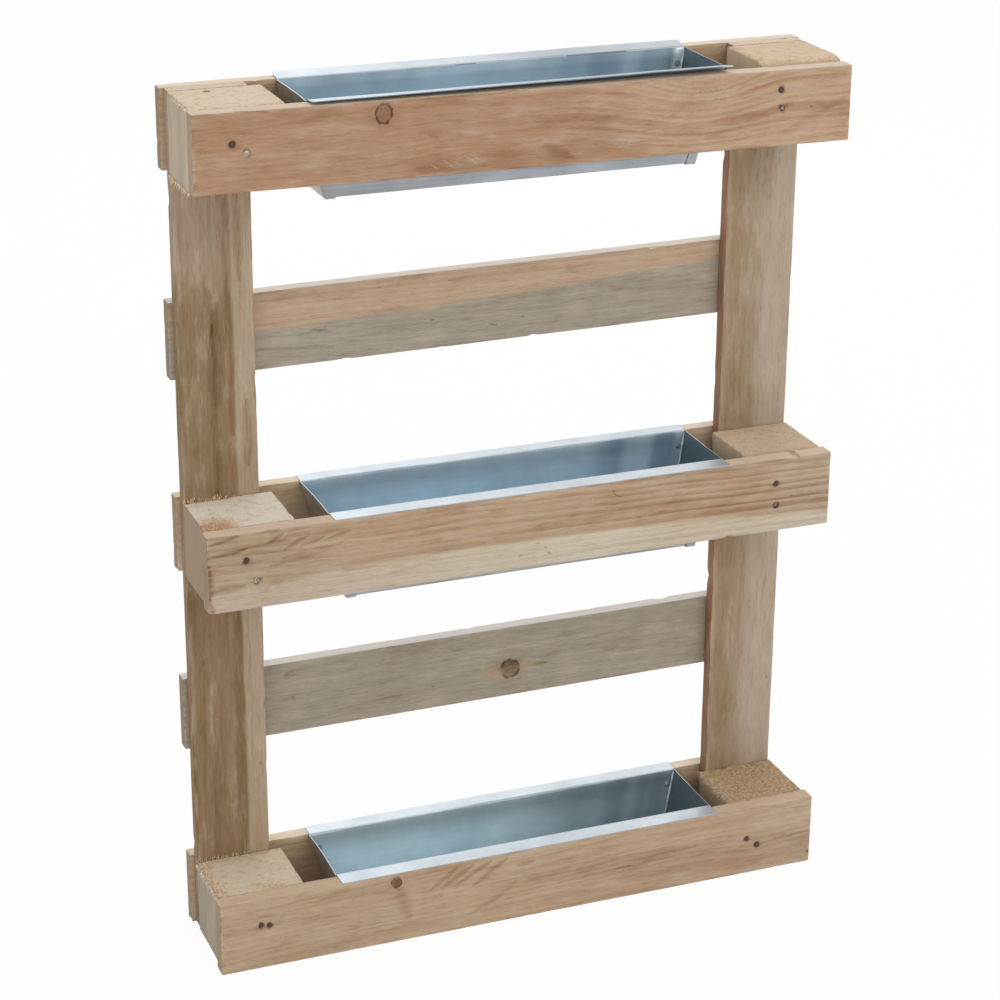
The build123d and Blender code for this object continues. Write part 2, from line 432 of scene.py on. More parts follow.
def mark_cut_ends(timber, fibre_axis):
    """Marks the faces that cut across the fibres, and the faces that look up or to the left, which take a
    painted highlight and painted shade.
    """
    timber.data.update()
    normals = [face.normal for face in timber.data.polygons]
    write_attribute(timber, "cut", "FACE", [float(abs(normal[fibre_axis]) > 0.75) for normal in normals])
    write_attribute(timber, "upper", "FACE", [float(normal.z > 0.75) for normal in normals])
    # Faces that look to the left are marked for painted shade.
    write_attribute(timber, "flank", "FACE", [float(normal.x < -0.75) for normal in normals])


def refine_round(timber, spots, facing, reach):
    """Subdivides the faces that look one way round each of several spots."""

    def near_a_spot(face):
        middle = face.calc_center_median()
        return face.normal.dot(facing) >= 0.8 and any((middle - spot).length < reach for spot in spots)

    with editing(timber):
        cut_up(timber, "FACE", near_a_spot, 3)


def press_dents(timber, spots, facing, radius, depth):
    """Presses a hollow into one face of a timber at each spot, and stains the wood there."""
    stain = [0.0] * len(timber.data.vertices)
    for index, vertex in enumerate(timber.data.vertices):
        for spot in spots:
            offset = vertex.co - spot
            height = offset.dot(facing)
            across = (offset - facing * height).length
            if across > 2.2 * radius or abs(height) > dent_zone:
                continue
            uneven = 1.0 + 0.6 * noise.noise(vertex.co * 190)
            bowl = max(0.0, 1.0 - (across / (radius * uneven)) ** 2)
            vertex.co -= facing * (depth * bowl)
            stain[index] = max(stain[index], 1.0 - across / (1.7 * radius * uneven))
    write_attribute(timber, "stain", "POINT", stain)


def nail_places(node, facing):
    """Middles of the nail heads in a CAD node, on the face that they were driven from."""
    points = [vertex.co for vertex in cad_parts[node].data.vertices]
    outermost = max(point.dot(facing) for point in points)
    heads = []
    for point in points:
        if point.dot(facing) < outermost - flush:
            continue
        for head in heads:
            if (head[0] - point).length < head_spread:
                head.append(point)
                break
        else:
            heads.append([point])
    return [Vector([(min(line) + max(line)) / 2 for line in zip(*head)]) for head in heads]


def spots_on(node, places):
    """The places that lie on a CAD node's box."""
    low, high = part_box(node)
    reach = 0.001
    return [p for p in places if all(low[i] - reach < p[i] < high[i] + reach for i in range(3))]


def titled(label):
    return label.replace("_", " ").title()


class Flow:
    """A number or colour that flows through a node tree, ready for sums."""

    def __init__(self, tree, socket):
        self.tree = tree
        self.socket = socket

    def reckon(self, operation, *others):
        return self.tree.add("Math", dict(enumerate((self, *others))), operation=operation)

    __add__ = partialmethod(reckon, "ADD")
    __sub__ = partialmethod(reckon, "SUBTRACT")
    __mul__ = partialmethod(reckon, "MULTIPLY")
    __truediv__ = partialmethod(reckon, "DIVIDE")
    __pow__ = partialmethod(reckon, "POWER")
    at_least = partialmethod(reckon, "MAXIMUM")
    at_most = partialmethod(reckon, "MINIMUM")

    def __rtruediv__(self, other):
        return self.tree.add("Math", {0: other, 1: self}, operation="DIVIDE")

    def step(self, start, end, low=0.0, high=1.0):
        """Runs smoothly from low to high as the number goes from start to end."""
        inputs = {"Value": self, "From Min": start, "From Max": end, "To Min": low, "To Max": high}
        return self.tree.add("MapRange", inputs, "Result", interpolation_type="SMOOTHSTEP")


class Arrow(Flow):
    """A place or direction that flows through a node tree."""

    def reckon(self, operation, *others, output="Vector"):
        second = "Scale" if operation == "SCALE" else 1
        inputs = dict(zip((0, second), (self, *others)))
        return self.tree.add("VectorMath", inputs, output, operation=operation)

    __add__ = partialmethod(reckon, "ADD")
    __sub__ = partialmethod(reckon, "SUBTRACT")
    dot = partialmethod(reckon, "DOT_PRODUCT", output="Value")
    length = partialmethod(reckon, "LENGTH", output="Value")

    def __mul__(self, other):
        return self.reckon("MULTIPLY" if isinstance(other, (tuple, Arrow)) else "SCALE", other)

    def shifted(self, step, seed):
        """The place moved on by one step for each unit of a seed."""
        return self + self.tree.add("VectorMath", {0: step, "Scale": seed}, operation="SCALE")


class Tree:
    """A node tree that a look is written in."""

    def __init__(self, data):
        self.data = data
        self.nodes = data.nodes

    def flow(self, socket):
        return (Arrow if socket.type == "VECTOR" else Flow)(self, socket)

    def feed(self, socket, value):
        """Feeds a socket from a flow, or sets it to a plain value."""
        if isinstance(value, Flow):
            self.data.links.new(value.socket, socket)
        else:
            socket.default_value = value

    def add(self, kind, inputs, output=0, **settings):
        """Adds a node with its settings and inputs, and gives one of its outputs."""
        node = self.nodes.new("ShaderNode" + kind)
        for setting, value in settings.items():
            setattr(node, setting, value)
        for socket, value in inputs.items():
            self.feed(node.inputs[socket], value)
        return self.flow(node.outputs[output])

    def split(self, vector):
        """The three parts of a vector or colour."""
        first = self.add("SeparateXYZ", {0: vector})
        return [self.flow(socket) for socket in first.socket.node.outputs]

    def join(self, x, y, z):
        return self.add("CombineXYZ", {0: x, 1: y, 2: z})

    def cloud(self, place, stretch, detail=2.0, roughness=0.5):
        """Soft noise whose size along each axis is set by a stretch."""
        inputs = {"Vector": place * stretch, "Scale": 1.0, "Detail": detail, "Roughness": roughness}
        return self.add("TexNoise", inputs)

    def wobble(self, place, stretch, detail=2.0, roughness=0.5):
        """A small push whose direction wanders from place to place."""
        noise_node = self.cloud(place, stretch, detail, roughness).socket.node
        return Arrow(self, noise_node.outputs["Color"]) - (0.5, 0.5, 0.5)

    def cover(self, amount, under, over, mode="MIX"):
        """Lays one colour over another."""
        return self.add("Mix", {0: amount, 6: under, 7: over}, 2, data_type="RGBA", blend_type=mode)

    def glaze(self, amount, under, over):
        """Multiplies one colour by another."""
        return self.cover(amount, under, over, "MULTIPLY")

    def attribute(self, name):
        """Reads an attribute of the piece."""
        return self.add("Attribute", {}, "Fac", attribute_name=name)

    def relief(self, height, depth):
        """A bump of some depth in metres."""
        return self.add("Bump", {"Strength": 1.0, "Distance": depth, "Height": height})

    def millimetres(self, middle=Vector((0, 0, 0)), turn=(0, 0, 0)):
        """Object coordinates in millimetres from a point of the piece, turned so that fibres run along X."""
        inputs = {
            "Vector": self.add("TexCoord", {}, "Object"),
            "Location": Euler(turn).to_matrix() @ (middle * -1000),
            "Rotation": turn,
            "Scale": (1000, 1000, 1000),
        }
        return self.add("Mapping", inputs)

    def group(self, name, **values):
        """Places a node group, with words of its socket names joined by underscores."""
        inputs = {titled(label): value for label, value in values.items()}
        first = self.add("Group", inputs, node_tree=bpy.data.node_groups[name])
        return {socket.name: self.flow(socket) for socket in first.socket.node.outputs}

    def give(self, **flows):
        """Lets a node group give its results."""
        kinds = {"VALUE": "Float", "VECTOR": "Vector", "RGBA": "Color"}
        for label, flow in flows.items():
            kind = "NodeSocket" + kinds[flow.socket.type]
            self.data.interface.new_socket(titled(label), in_out="OUTPUT", socket_type=kind)
        for socket, flow in zip(self.nodes.new("NodeGroupOutput").inputs, flows.values()):
            self.feed(socket, flow)

    def finish(self, **values):
        """Feeds the shader of a material."""
        values["Base Color"] = values.pop("colour")
        if "specular" in values:
            values["Specular IOR Level"] = values.pop("specular")
        for label, value in values.items():
            socket_name = label if " " in label else titled(label)
            self.feed(self.nodes["Principled BSDF"].inputs[socket_name], value)

    def seen_white(self, lit, white_light, share, end):
        """Lets eyes and mirrors see plain white in place of a lit surface."""
        rays = [self.add("LightPath", {}, f"Is {kind} Ray") for kind in ("Camera", "Glossy", "Transmission")]
        seen = rays[0].at_least(rays[1]).at_least(rays[2]) * share
        shown = self.add("MixShader", {0: seen, 1: self.flow(lit), 2: white_light})
        self.feed(self.nodes[end].inputs["Surface"], shown)


def new_group(name, **defaults):
    """A node group with inputs named and typed by their defaults; gives its tree and each input."""
    data = bpy.data.node_groups.new(name, "ShaderNodeTree")
    for label, default in defaults.items():
        kind = {3: "Vector", 4: "Color"}[len(default)] if isinstance(default, tuple) else "Float"
        socket = data.interface.new_socket(titled(label), in_out="INPUT", socket_type="NodeSocket" + kind)
        socket.default_value = default
    tree = Tree(data)
    given = data.nodes.new("NodeGroupInput").outputs
    return tree, *[tree.flow(given[titled(label)]) for label in defaults]


def new_material(name):
    """A material and the tree that its look is written in."""
    material = bpy.data.materials.new(name)
    material.use_nodes = True
    return material, Tree(material.node_tree)


def grain_group():
    """Growth rings round a wandering pith, fine fibres and short dark pores. Lengths are in millimetres."""
    tree, place, pith, drift, ring_width, wander, seed = new_group(
        "Timber Grain",
        place=(0, 0, 0),
        pith=(0, 60, -60),
        drift=(0, 0, 0),
        ring_width=6.0,
        wander=6.0,
        seed=0.0,
    )
    seeded = place.shifted((131, 57, 89), seed)
    local = place - (pith + drift * tree.split(place)[0])
    local = local + tree.wobble(seeded, (0.0055, 0.011, 0.011), 1.0) * (wander * 4.0)
    local = local + tree.wobble(seeded, (0.03, 0.25, 0.25)) * 0.5
    radius = (local * (0, 1, 1)).length()
    uneven = tree.cloud(tree.join(radius * 0.045, seed, 0.0), (1, 1, 1), 1.0)
    turns = radius / ring_width + uneven * 3.0
    part = turns.reckon("FRACT")
    strength = tree.add("TexWhiteNoise", {"W": turns.reckon("FLOOR") + seed}, noise_dimensions="1D")
    tree.give(
        late=part.step(0.15, 0.80) * part.step(0.82, 1.0, 1.0, 0.0) * (strength * 0.65 + 0.35),
        streak=tree.cloud(seeded, (0.012, 0.55, 0.55), 4.0, 0.65),
        pores=tree.cloud(seeded, (0.085, 1.3, 1.3), 1.0).step(0.63, 0.74),
        tone=tree.cloud(seeded, (0.006, 0.03, 0.03)),
    )


def knot_group():
    """A knot that the grain flows round. Lengths are in millimetres."""
    tree, place, along, across, radius, stretch = new_group(
        "Timber Knot", place=(0, 0, 0), along=0.0, across=0.0, radius=8.0, stretch=1.0
    )
    x, y, z = tree.split(place)
    off_axis = z - across
    ratio = tree.join((x - along) / stretch, off_axis, 0.0).length() / radius
    ratio = ratio + (tree.cloud(place, (0.35, 0.1, 0.35), 3.0) - 0.5) * 0.32
    held = 1.0 / (ratio * ratio).at_least(1.0)
    broken = tree.cloud(place, (0.22, 0.05, 0.22)).step(0.30, 0.52)
    tree.give(
        place=tree.join(x, y, z - off_axis * (held * 0.9)),
        heart=ratio.step(0.85, 1.05, 1.0, 0.0),
        ring=ratio.step(0.68, 0.90) * ratio.step(0.98, 1.14, 1.0, 0.0) * broken,
        halo=ratio.step(0.9, 2.8, 1.0, 0.0),
        rays=(ratio * 17.0).reckon("SINE") * 0.5 + 0.5,
    )


def sapwood_group():
    """A band of cream sapwood on one side of a sloping, uneven line. Lengths are in millimetres."""
    tree, place, line, slope, bow, softness, seed = new_group(
        "Sapwood Band", place=(0, 0, 0), line=0.0, slope=0.0, bow=0.0, softness=5.0, seed=0.0
    )
    x, _, z = tree.split(place)
    uneven = tree.cloud(place.shifted((71, 17, 39), seed), (0.011, 0.05, 0.05), 3.0) - 0.5
    share = x / half_board
    line = line + slope * x + bow * (share * share) + uneven * 7.0
    tree.give(band=((line - z) / softness).step(-0.5, 0.5))


def stroke_group():
    """A stroke in the grain from one point to another, narrower at its ends. Lengths are in millimetres."""
    tree, place, start, end, width = new_group(
        "Grain Stroke", place=(0, 0, 0), start=(0, 0, 0), end=(10, 0, 0), width=2.0
    )
    run = end - start
    offset = (place - start) * (1, 0, 1)
    share = (offset.dot(run) / run.dot(run)).at_least(0.0).at_most(1.0)
    gap = (offset - run * share).length()
    from_middle = (share * 2.0 - 1.0).reckon("ABSOLUTE")
    tree.give(mask=(gap / (width * from_middle.step(0.4, 1.0, 1.0, 0.55))).step(1.0, 0.1))


def weather_group():
    """Grey weathering in soft patches drawn out along the fibres. Lengths are in millimetres."""
    tree, colour, grey, place, amount, seed = new_group(
        "Weathering",
        colour=(0.5, 0.5, 0.5, 1),
        grey=(0.4, 0.4, 0.4, 1),
        place=(0, 0, 0),
        amount=0.3,
        seed=0.0,
    )
    large = tree.cloud(place.shifted((37, 91, 53), seed), (0.008, 0.035, 0.035), 4.0, 0.6)
    tree.give(colour=tree.cover((large + (amount - 0.5)).step(0.35, 0.75), colour, grey))


def zinc_group():
    """Faint crystals, cloudy patches and drawn scratches of galvanised sheet. Lengths are in millimetres."""
    tree, place, bright, dull, seed = new_group(
        "Galvanised Sheet",
        place=(0, 0, 0),
        bright=(0.6, 0.66, 0.7, 1),
        dull=(0.4, 0.46, 0.5, 1),
        seed=0.0,
    )
    shifted = place.shifted((43, 29, 61), seed)
    bent = shifted + tree.wobble(shifted, (0.09, 0.09, 0.09)) * 9.0
    crystals = tree.add("TexVoronoi", {"Vector": bent, "Scale": 0.11, "Randomness": 1.0}, "Color")
    facet = tree.split(crystals)[0]
    mottle = tree.cloud(shifted, (0.02, 0.02, 0.02), 4.0, 0.6)
    drawn = tree.cloud(shifted, (0.004, 0.5, 0.5), 3.0)
    tone = facet * 0.07 + mottle * 0.93 + (drawn - 0.5) * 0.2
    tree.give(
        colour=tree.cover(tone.step(0.25, 0.8), bright, dull),
        roughness=mottle * 0.2 + 0.2 + facet * 0.02,
        height=mottle * 2.0 + facet * 0.15,
    )


# A finish's edge colour is the painted highlight on the timber's faces that look up.
timber_finishes = {
    "front_board_top": {
        "settled": (0, -4.3, 3.8), "tint": (0.975, 0.985, 0.985), "pith": (0, 30, -74),
        "drift": (0, 0.01, 0.016), "ring": 6.2, "wander": 5.0, "figure": (-60, 140, 0.22, 0.64),
        "grey": 0.1, "ruddy": 0.34, "end": (0.685, 0.615, 0.53),
        "bleach": ((0, 130, 0.9, (0.745, 0.63, 0.52)),), "knots": ((-136, 21, 9.0, 0.84, 0.6),),
        "bends": ((-62, -50, 17, 1.5), (66, -48, 14, 1.6), (158, 54, 27, 1.5)),
        "flames": ((-112, -8, -15, 0.75), (8, 40, -10, 0.45), (50, 104, -17, 0.4)),
        "marks": (
            (-96, 2, -88, -2, 5.0, 0.35), (120, -14, 176, -24, 7.0, 0.22), (160, -22, 240, 1, 7.0, 0.26),
            (236, -24, 292, 2, 7.0, 0.22), (8, -17, 34, -28, 7.0, 0.35), (40, -3, 76, -9, 6.0, 0.24),
            (-150, 21, -126, 22, 16.0, 0.16), (-106, -26, -48, -28, 7.0, 0.3),
        ),
        "glints": (
            (-95, -23, -89, -28, 0.9, 0.28), (-84, -20, -75, -28, 0.9, 0.32),
            (-74, -22, -68, -27, 0.9, 0.26), (-65, -18, -54, -26, 0.9, 0.3),
            (-56, -20, -49, -25, 0.9, 0.26),
        ),
        "seed": 1.3,
    },
    "front_board_middle": {
        "tint": (1.0, 1.085, 1.11), "pith": (0, 20, 84), "drift": (0, 0.0, -0.025), "ring": 6.6,
        "wander": 4.5, "figure": (-220, 100, 0.4, 0.88), "grey": 0.12, "ruddy": 0.22,
        "end": (0.62, 0.545, 0.45), "edge": (0.875, 0.785, 0.69),
        "bleach": ((-150, -280, 0.85, (0.7, 0.63, 0.53)), (215, 285, 0.8, (0.735, 0.665, 0.585))),
        "sap": (-9, -0.009, -11, 7.0), "chips": ((-300, -36, 0.004, 0.0008), (264, 36, 0.007, 0.003)),
        "sap_left": (-60, -290, (0.735, 0.665, 0.59)),
        "marks": (
            (-300, 16, -268, 21.5, 3.0, 0.78), (-268, 21.5, -229, 25, 3.0, 0.42),
            (-298, 28, -272, 34, 3.4, 0.72), (-276, 18, -262, 23.5, 2.8, 0.64),
            (-249, 22, -232, 30.5, 2.8, 0.72), (-231, 16, -208, 26, 2.8, 0.7),
            (-216, 17, -195, 22.5, 2.6, 0.58), (-191, 20, -171, 25, 2.6, 0.46),
            (-244, 2, -195, 9, 3.4, 0.38), (-232, 8, -178, 15, 3.4, 0.36),
            (-296, -15, -268, -13, 5.0, 0.45), (-299, 8, -299, -24, 7.0, 1.0),
            (-298, -27, -296, -36, 5.0, 0.7), (-12, -24, -9, -23, 2.2, 0.5), (4, -13, 8, -14, 2.4, 0.5),
            (12, -18, 14, -19, 2.0, 0.5), (16, -23, 19, -25, 2.0, 0.55), (79, 28, 80, 24, 1.0, 0.7),
            (80, 24, 88, 21, 1.0, 0.7), (262, 36, 268, 35, 2.6, 0.7),
        ),
        "seed": 2.1,
    },
    "front_board_bottom": {
        "tint": (1.03, 1.13, 1.17), "pith": (0, 22, -62), "drift": (0, 0.03, 0.05), "ring": 6.4,
        "wander": 5.5, "figure": (-200, 100, 0.26, 0.42), "grey": 0.16, "ruddy": 0.16,
        "end": (0.6, 0.545, 0.44), "edge": (0.825, 0.72, 0.615),
        "bleach": ((70, 150, 0.8, (0.72, 0.615, 0.52)), (225, 285, 0.8, (0.745, 0.665, 0.575))),
        "knots": ((-131, 27, 5.0, 1.1, 0.6),), "knot_colour": (0.42, 0.29, 0.19),
        "marks": (
            (-129, 31, -132, 23, 6.0, 0.75), (-129, 20, -119, -10, 11.0, 0.34),
            (-98, 12, -71, 30, 4.0, 0.5), (-86, 13, -55, 30, 4.0, 0.52), (-71, 13, -37, 31, 4.0, 0.52),
            (-55, 8, -21, 30, 4.0, 0.48), (-43, -16, -11, 4, 4.5, 0.22), (-64, -24, -24, -6, 4.5, 0.22),
            (60, -3, 125, -6, 4.5, 0.26), (93, -3, 177, 7, 4.5, 0.26), (19, -22, 93, -23, 4.5, 0.2),
            (-9, 21, 6, 23, 4.0, 0.4), (296, -24, 299, -26, 2.6, 0.85),
        ),
        "seed": 3.7,
    },
    "upright_left": {
        "tint": (0.79, 0.83, 0.77), "pith": (0, 30, 90), "drift": (0, 0, 0.01), "ring": 6.0, "wander": 4.0,
        "figure": 0.12, "grey": 0.14, "ruddy": 0.1, "bleach": ((190, 270, 0.85, (0.675, 0.595, 0.52)),),
        "sap": (-15, 0.004, 0, 4.0), "sap_colour": (0.69, 0.615, 0.525), "bands": 0.8,
        "marks": (
            (230, -22, 330, -20, 6.0, 0.5), (60, -26, 120, -26, 7.0, 0.5), (165, 4, 192, 4, 3.0, 0.85),
            (36, 4, 40, 4, 4.0, 0.6), (90, -12, 330, -12, 6.0, 0.4), (-340, -10, -60, -12, 8.0, 0.4),
            (120, 3, 210, 0, 9.0, 0.35), (-330, 14, -150, 8, 9.0, 0.28), (-130, 24, -123, 20, 5.0, 0.4),
        ),
        "seed": 4.2,
    },
    "upright_right": {
        "tint": (0.855, 0.915, 0.905), "pith": (0, 40, 110), "drift": (0, 0, -0.01), "ring": 7.0,
        "wander": 3.5, "figure": 0.03, "grey": 0.34, "ruddy": 0.0, "sap": (2, 0.0, 0, 40),
        "sap_colour": (0.69, 0.63, 0.555), "strip": (28, 32, (0.7, 0.6, 0.49), 0.4),
        # The flank colour here is painted shade on the faces that look to the left.
        "flank": (0.6, 0.44, 0.34), "streak": 0.08, "bands": 0.25,
        "marks": (
            (303, 8, 297, 8, 3.4, 0.4), (301, -4, 294, -5, 3.0, 0.38), (278, 5, 272, 5, 3.0, 0.4),
            (150, 12, 60, 16, 4.0, 0.22), (-100, 2, -190, 6, 4.0, 0.2),
        ),
        "seed": 5.9,
    },
    # The tints of the slats behind the troughs are partly the wood's colour and partly painted light that
    # lifts the shade in the gaps behind the troughs.
    "rear_slat_top": {
        "tint": (1.09, 1.19, 1.23), "edge": (0.94, 0.88, 0.8), "pith": (0, 50, -80), "drift": (0, 0, 0.01),
        "ring": 7.0, "wander": 5.0, "figure": 0.34, "grey": 0.25, "ruddy": 0.15, "seed": 6.4,
    },
    "rear_slat_upper": {
        "settled": (-3.6, 0.6, 0), "tint": (1.045, 1.135, 1.19), "edge": (0.99, 0.96, 0.92),
        "pith": (0, 45, 90), "drift": (0, 0, 0.008), "ring": 5.6, "wander": 3.0, "figure": 0.3,
        "grey": 0.16, "ruddy": 0.1, "lightness": 1.05, "grey_warmth": -0.025,
        "grey_band": (5, 0.045, 5, 6.0),
        "marks": (
            (-172, -7, -156, -9, 1.8, 0.6), (-30, -13, -18, -15, 1.8, 0.55), (-3, -21, 5, -23, 1.6, 0.55),
            (60, -8, 110, -6, 2.0, 0.3), (-220, -20, -150, -24, 3.4, 0.3),
        ),
        "seed": 7.8,
    },
    # Tint partly the wood's colour, partly painted light lifting the shade behind the middle trough.
    "rear_slat_middle": {
        "tint": (1.12, 1.25, 1.32), "edge": (0.97, 0.91, 0.83), "pith": (0, 60, -90),
        "drift": (0, 0, 0.012), "ring": 6.5, "wander": 4.0, "figure": 0.3, "grey": 0.25, "ruddy": 0.08,
        "seed": 8.6,
    },
    "rear_slat_lower": {
        "settled": (1.9, 3.4, 0), "tint": (1.0, 1.04, 1.06), "edge": (0.97, 0.96, 0.94),
        "pith": (0, 50, -95), "drift": (0, 0, 0.01), "ring": 6.2, "wander": 4.0, "figure": 0.26,
        "grey": 0.8, "ruddy": 0.05, "lightness": 1.02, "knots": ((21, -5, 10.0, 1.0, 0.85),),
        "knot_colour": (0.41, 0.325, 0.245), "glint_colour": (0.685, 0.54, 0.43),
        "glints": ((-6, -9, 12, -7, 9.0, 0.5), (31, -4, 44, -3, 7.0, 0.42)),
        "marks": (
            (22, -1, 26, 2, 6.0, 0.5), (44, -5, 58, -5, 3.6, 0.5), (-203, 26, -199, 26, 2.2, 0.6),
            (-197, 2, -193, 2, 2.2, 0.55), (-150, -18, -90, -14, 2.4, 0.3), (90, 14, 160, 18, 2.4, 0.25),
        ),
        "seed": 9.1,
    },
    # Tint partly the wood's colour, partly painted light lifting the shade behind the bottom trough.
    "rear_slat_bottom": {
        "tint": (1.11, 1.22, 1.28), "edge": (0.97, 0.91, 0.83), "pith": (0, 45, 85), "drift": (0, 0, -0.01),
        "ring": 6.0, "wander": 4.0, "figure": 0.3, "grey": 0.35, "ruddy": 0.08, "seed": 10.5,
    },
}

# A block's side value sets how light its long-grain faces are; on the right-hand blocks it is raised above 1
# as painted light against the shade in the gap beside the troughs.
block_finishes = {
    "block_top_left": {
        "lightness": 1.16, "side": 0.94, "torn": 0.1, "fibre": (0.83, 0.72, 0.59), "grey": 0.25,
        "holes": ((-265.3, 18.8),), "seed": 11.2,
    },
    "block_top_right": {
        "lightness": 1.11, "warmth": 0.03, "torn": 0.22, "grey": 0.1, "sunk": 0.0026, "seed": 12.9,
    },
    "block_middle_left": {
        "lightness": 1.24, "warmth": -0.045, "side": 0.675, "side_warmth": 0.05, "torn": 0.02,
        "chipped": 0.4, "fibre": (0.73, 0.53, 0.35), "grey": -0.1, "seed": 13.4,
    },
    "block_middle_right": {
        "lightness": 1.05, "side": 1.06, "warmth": 0.03, "torn": 0.26, "grey": 0.1, "seed": 14.8,
    },
    "block_bottom_left": {
        "lightness": 1.12, "side": 0.92, "torn": 0.12, "fibre": (0.82, 0.725, 0.6), "grey": 0.3,
        "seed": 15.3,
    },
    "block_bottom_right": {
        "lightness": 1.04, "side": 1.02, "torn": 0.42, "fibre": (0.72, 0.6, 0.455), "grey": 0.1,
        "seed": 16.6,
    },
}

# Per row: inside tint, painted shade on the inside walls towards the right end, painted reflection darkening
# the flanges towards the right end, and strength of the painted reflection in the inside right corner. The
# inside tints differ by row partly as painted light: darkest in the top trough, lightest in the bottom one.
zinc_finishes = {
    "top": ((0.73, 0.90, 1.01, 1), 1.0, 0.56, 0.8),
    "middle": ((0.88, 1.02, 1.12, 1), 1.0, 0.80, 0.35),
    "bottom": ((1.08, 1.18, 1.19, 1), 0.62, 0.90, 0.08),
}

glazes = {
    "olive": (0.80, 0.78, 0.64, 1),
    "rosy": (1.04, 0.95, 0.93, 1),
    "knot_halo": (0.80, 0.64, 0.52, 1),
    "tone": (0.89, 0.86, 0.83, 1),
    "streak": (0.78, 0.72, 0.66, 1),
    "pale_streak": (0.84, 0.77, 0.70, 1),
    "side_streak": (0.80, 0.74, 0.67, 1),
    "blotch": (0.74, 0.67, 0.60, 1),
    "fibre": (0.72, 0.66, 0.60, 1),
    "sawn_end": (0.78, 0.70, 0.62, 1),
    "mark": (0.52, 0.38, 0.28, 1),
    "soiled_edge": (0.5, 0.4, 0.32, 1),
    "end_specks": (0.56, 0.42, 0.31, 1),
    "end_clumps": (0.74, 0.64, 0.53, 1),
    "block_edge": (0.66, 0.54, 0.43, 1),
    # The next three glazes are painted light on the zinc: a painted reflection in strips, a painted
    # reflection of the wood, and the painted shade of a right end wall.
    "mirrored_strip": (0.58, 0.62, 0.66, 1),
    "beside_wood": (1.16, 1.0, 0.84, 1),
    "dull_plate": (0.28, 0.33, 0.36, 1),
    "scratch": (0.72, 0.72, 0.72, 1),
}


def banded(tree, place, band, seed):
    """How far a point lies inside a band, given as its line, slope, bow and softness."""
    values = dict(zip(("line", "slope", "bow", "softness"), band))
    return tree.group("Sapwood Band", place=place, seed=seed, **values)["Band"]


def stroked(tree, place, stroke):
    """How far a point lies inside a stroke, given as its ends along and across, width and strength."""
    along, across, to_along, to_across, width, strength = stroke
    ends = {"start": (along, 0, across), "end": (to_along, 0, to_across)}
    return tree.group("Grain Stroke", place=place, width=width, **ends)["Mask"] * strength


def timber_grain(tree, place, finish):
    """Growth rings of a timber, and the knots that they flow round with the strength of each heart."""
    bends = [(*bend, None) for bend in finish.get("bends", ())]
    knots = []
    for *sizes, heart in (*bends, *finish.get("knots", ())):
        values = dict(zip(("along", "across", "radius", "stretch"), sizes))
        knot = tree.group("Timber Knot", place=place, **values)
        place = knot["Place"]
        if heart is not None:
            knots.append((knot, heart))
    values = {name: finish[name] for name in ("pith", "drift", "wander", "seed")}
    return tree.group("Timber Grain", place=place, ring_width=finish["ring"], **values), knots


def heartwood(tree, place, finish, lines):
    """Early and late wood, faded towards some places along the fibres, with ruddy flames."""
    wood = colours()
    woods = (wood.early_wood, wood.late_wood, wood.ruddy_wood)
    early, late, ruddy = (tinted(part, finish["tint"]) for part in woods)
    along, _, across = tree.split(place)
    flame = tree.cloud(place, (0.009, 0.03, 0.045), 3.0, 0.6)
    early = tree.cover(flame.step(0.42, 0.66, 0.0, finish["ruddy"]), early, ruddy)
    for start, end, amount, faded in finish.get("bleach", ()):
        share = along.step(start, end, 0.0, amount)
        early = tree.cover(share, early, linear(faded))
        late = tree.cover(share, late, tinted(faded, (0.86, 0.78, 0.70)))
    level = across + (tree.cloud(place, (0.05, 0.1, 0.1), 3.0) * 16.0 - 8.0)
    for start, end, top, amount in finish.get("flames", ()):
        share = level.step(top + 3, top - 7, 0.0, amount)
        share = share * along.step(start - 12, start + 14) * along.step(end + 12, end - 14)
        early = tree.cover(share, early, shade(wood.ruddy_wood, 0.92))
    return tree.cover(lines, early, late), late


def aged_wood(tree, place, finish, lines, colour, late):
    """Sapwood, pale strips, olive and rosy bands and grey weathering over the heartwood."""
    wood = colours()
    seed = finish["seed"]
    along, _, across = tree.split(place)
    if "sap" in finish:
        pale = linear(finish.get("sap_colour", wood.sapwood))
        if "sap_left" in finish:
            start, end, aged = finish["sap_left"]
            pale = tree.cover(along.step(start, end), pale, linear(aged))
        pale = tree.cover(lines * 0.25, pale, late)
        colour = tree.cover(banded(tree, place, finish["sap"], seed), colour, pale)
    if "strip" in finish:
        start, end, pale, amount = finish["strip"]
        colour = tree.cover(across.step(start, end, 0.0, amount), colour, linear(pale))
    bands = tree.cloud(place, (0.0035, 0.08, 0.08), 3.0, 0.6)
    strength = finish.get("bands", 0.15)
    colour = tree.glaze(bands.step(0.52, 0.66, 0.0, strength), colour, glazes["olive"])
    colour = tree.glaze(bands.step(0.46, 0.34, 0.0, strength), colour, glazes["rosy"])
    grey = shade(wood.weathered_wood, finish.get("lightness", 1.0), finish.get("grey_warmth", 0.0))
    values = {"colour": colour, "grey": grey, "amount": finish["grey"], "seed": seed}
    colour = tree.group("Weathering", place=place, **values)["Colour"]
    if "grey_band" in finish:
        grey_lines = tree.cover(lines * 0.7, grey, late)
        colour = tree.cover(banded(tree, place, finish["grey_band"], seed) * 0.9, colour, grey_lines)
    return colour


def knotted(tree, finish, knots, colour):
    """Hearts, bark rings and halos of the knots."""
    wood = colours()
    heart_colour = finish.get("knot_colour", wood.knot)
    for knot, strength in knots:
        heart = tree.cover(knot["Rays"] * 0.5, shade(heart_colour, 1.15), shade(heart_colour, 0.85))
        colour = tree.glaze(knot["Halo"] * (0.4 * strength), colour, glazes["knot_halo"])
        colour = tree.cover(knot["Heart"] * strength, colour, heart)
        colour = tree.cover(knot["Ring"] * 0.85, colour, shade(wood.bark_ring, 1.1))
    return colour


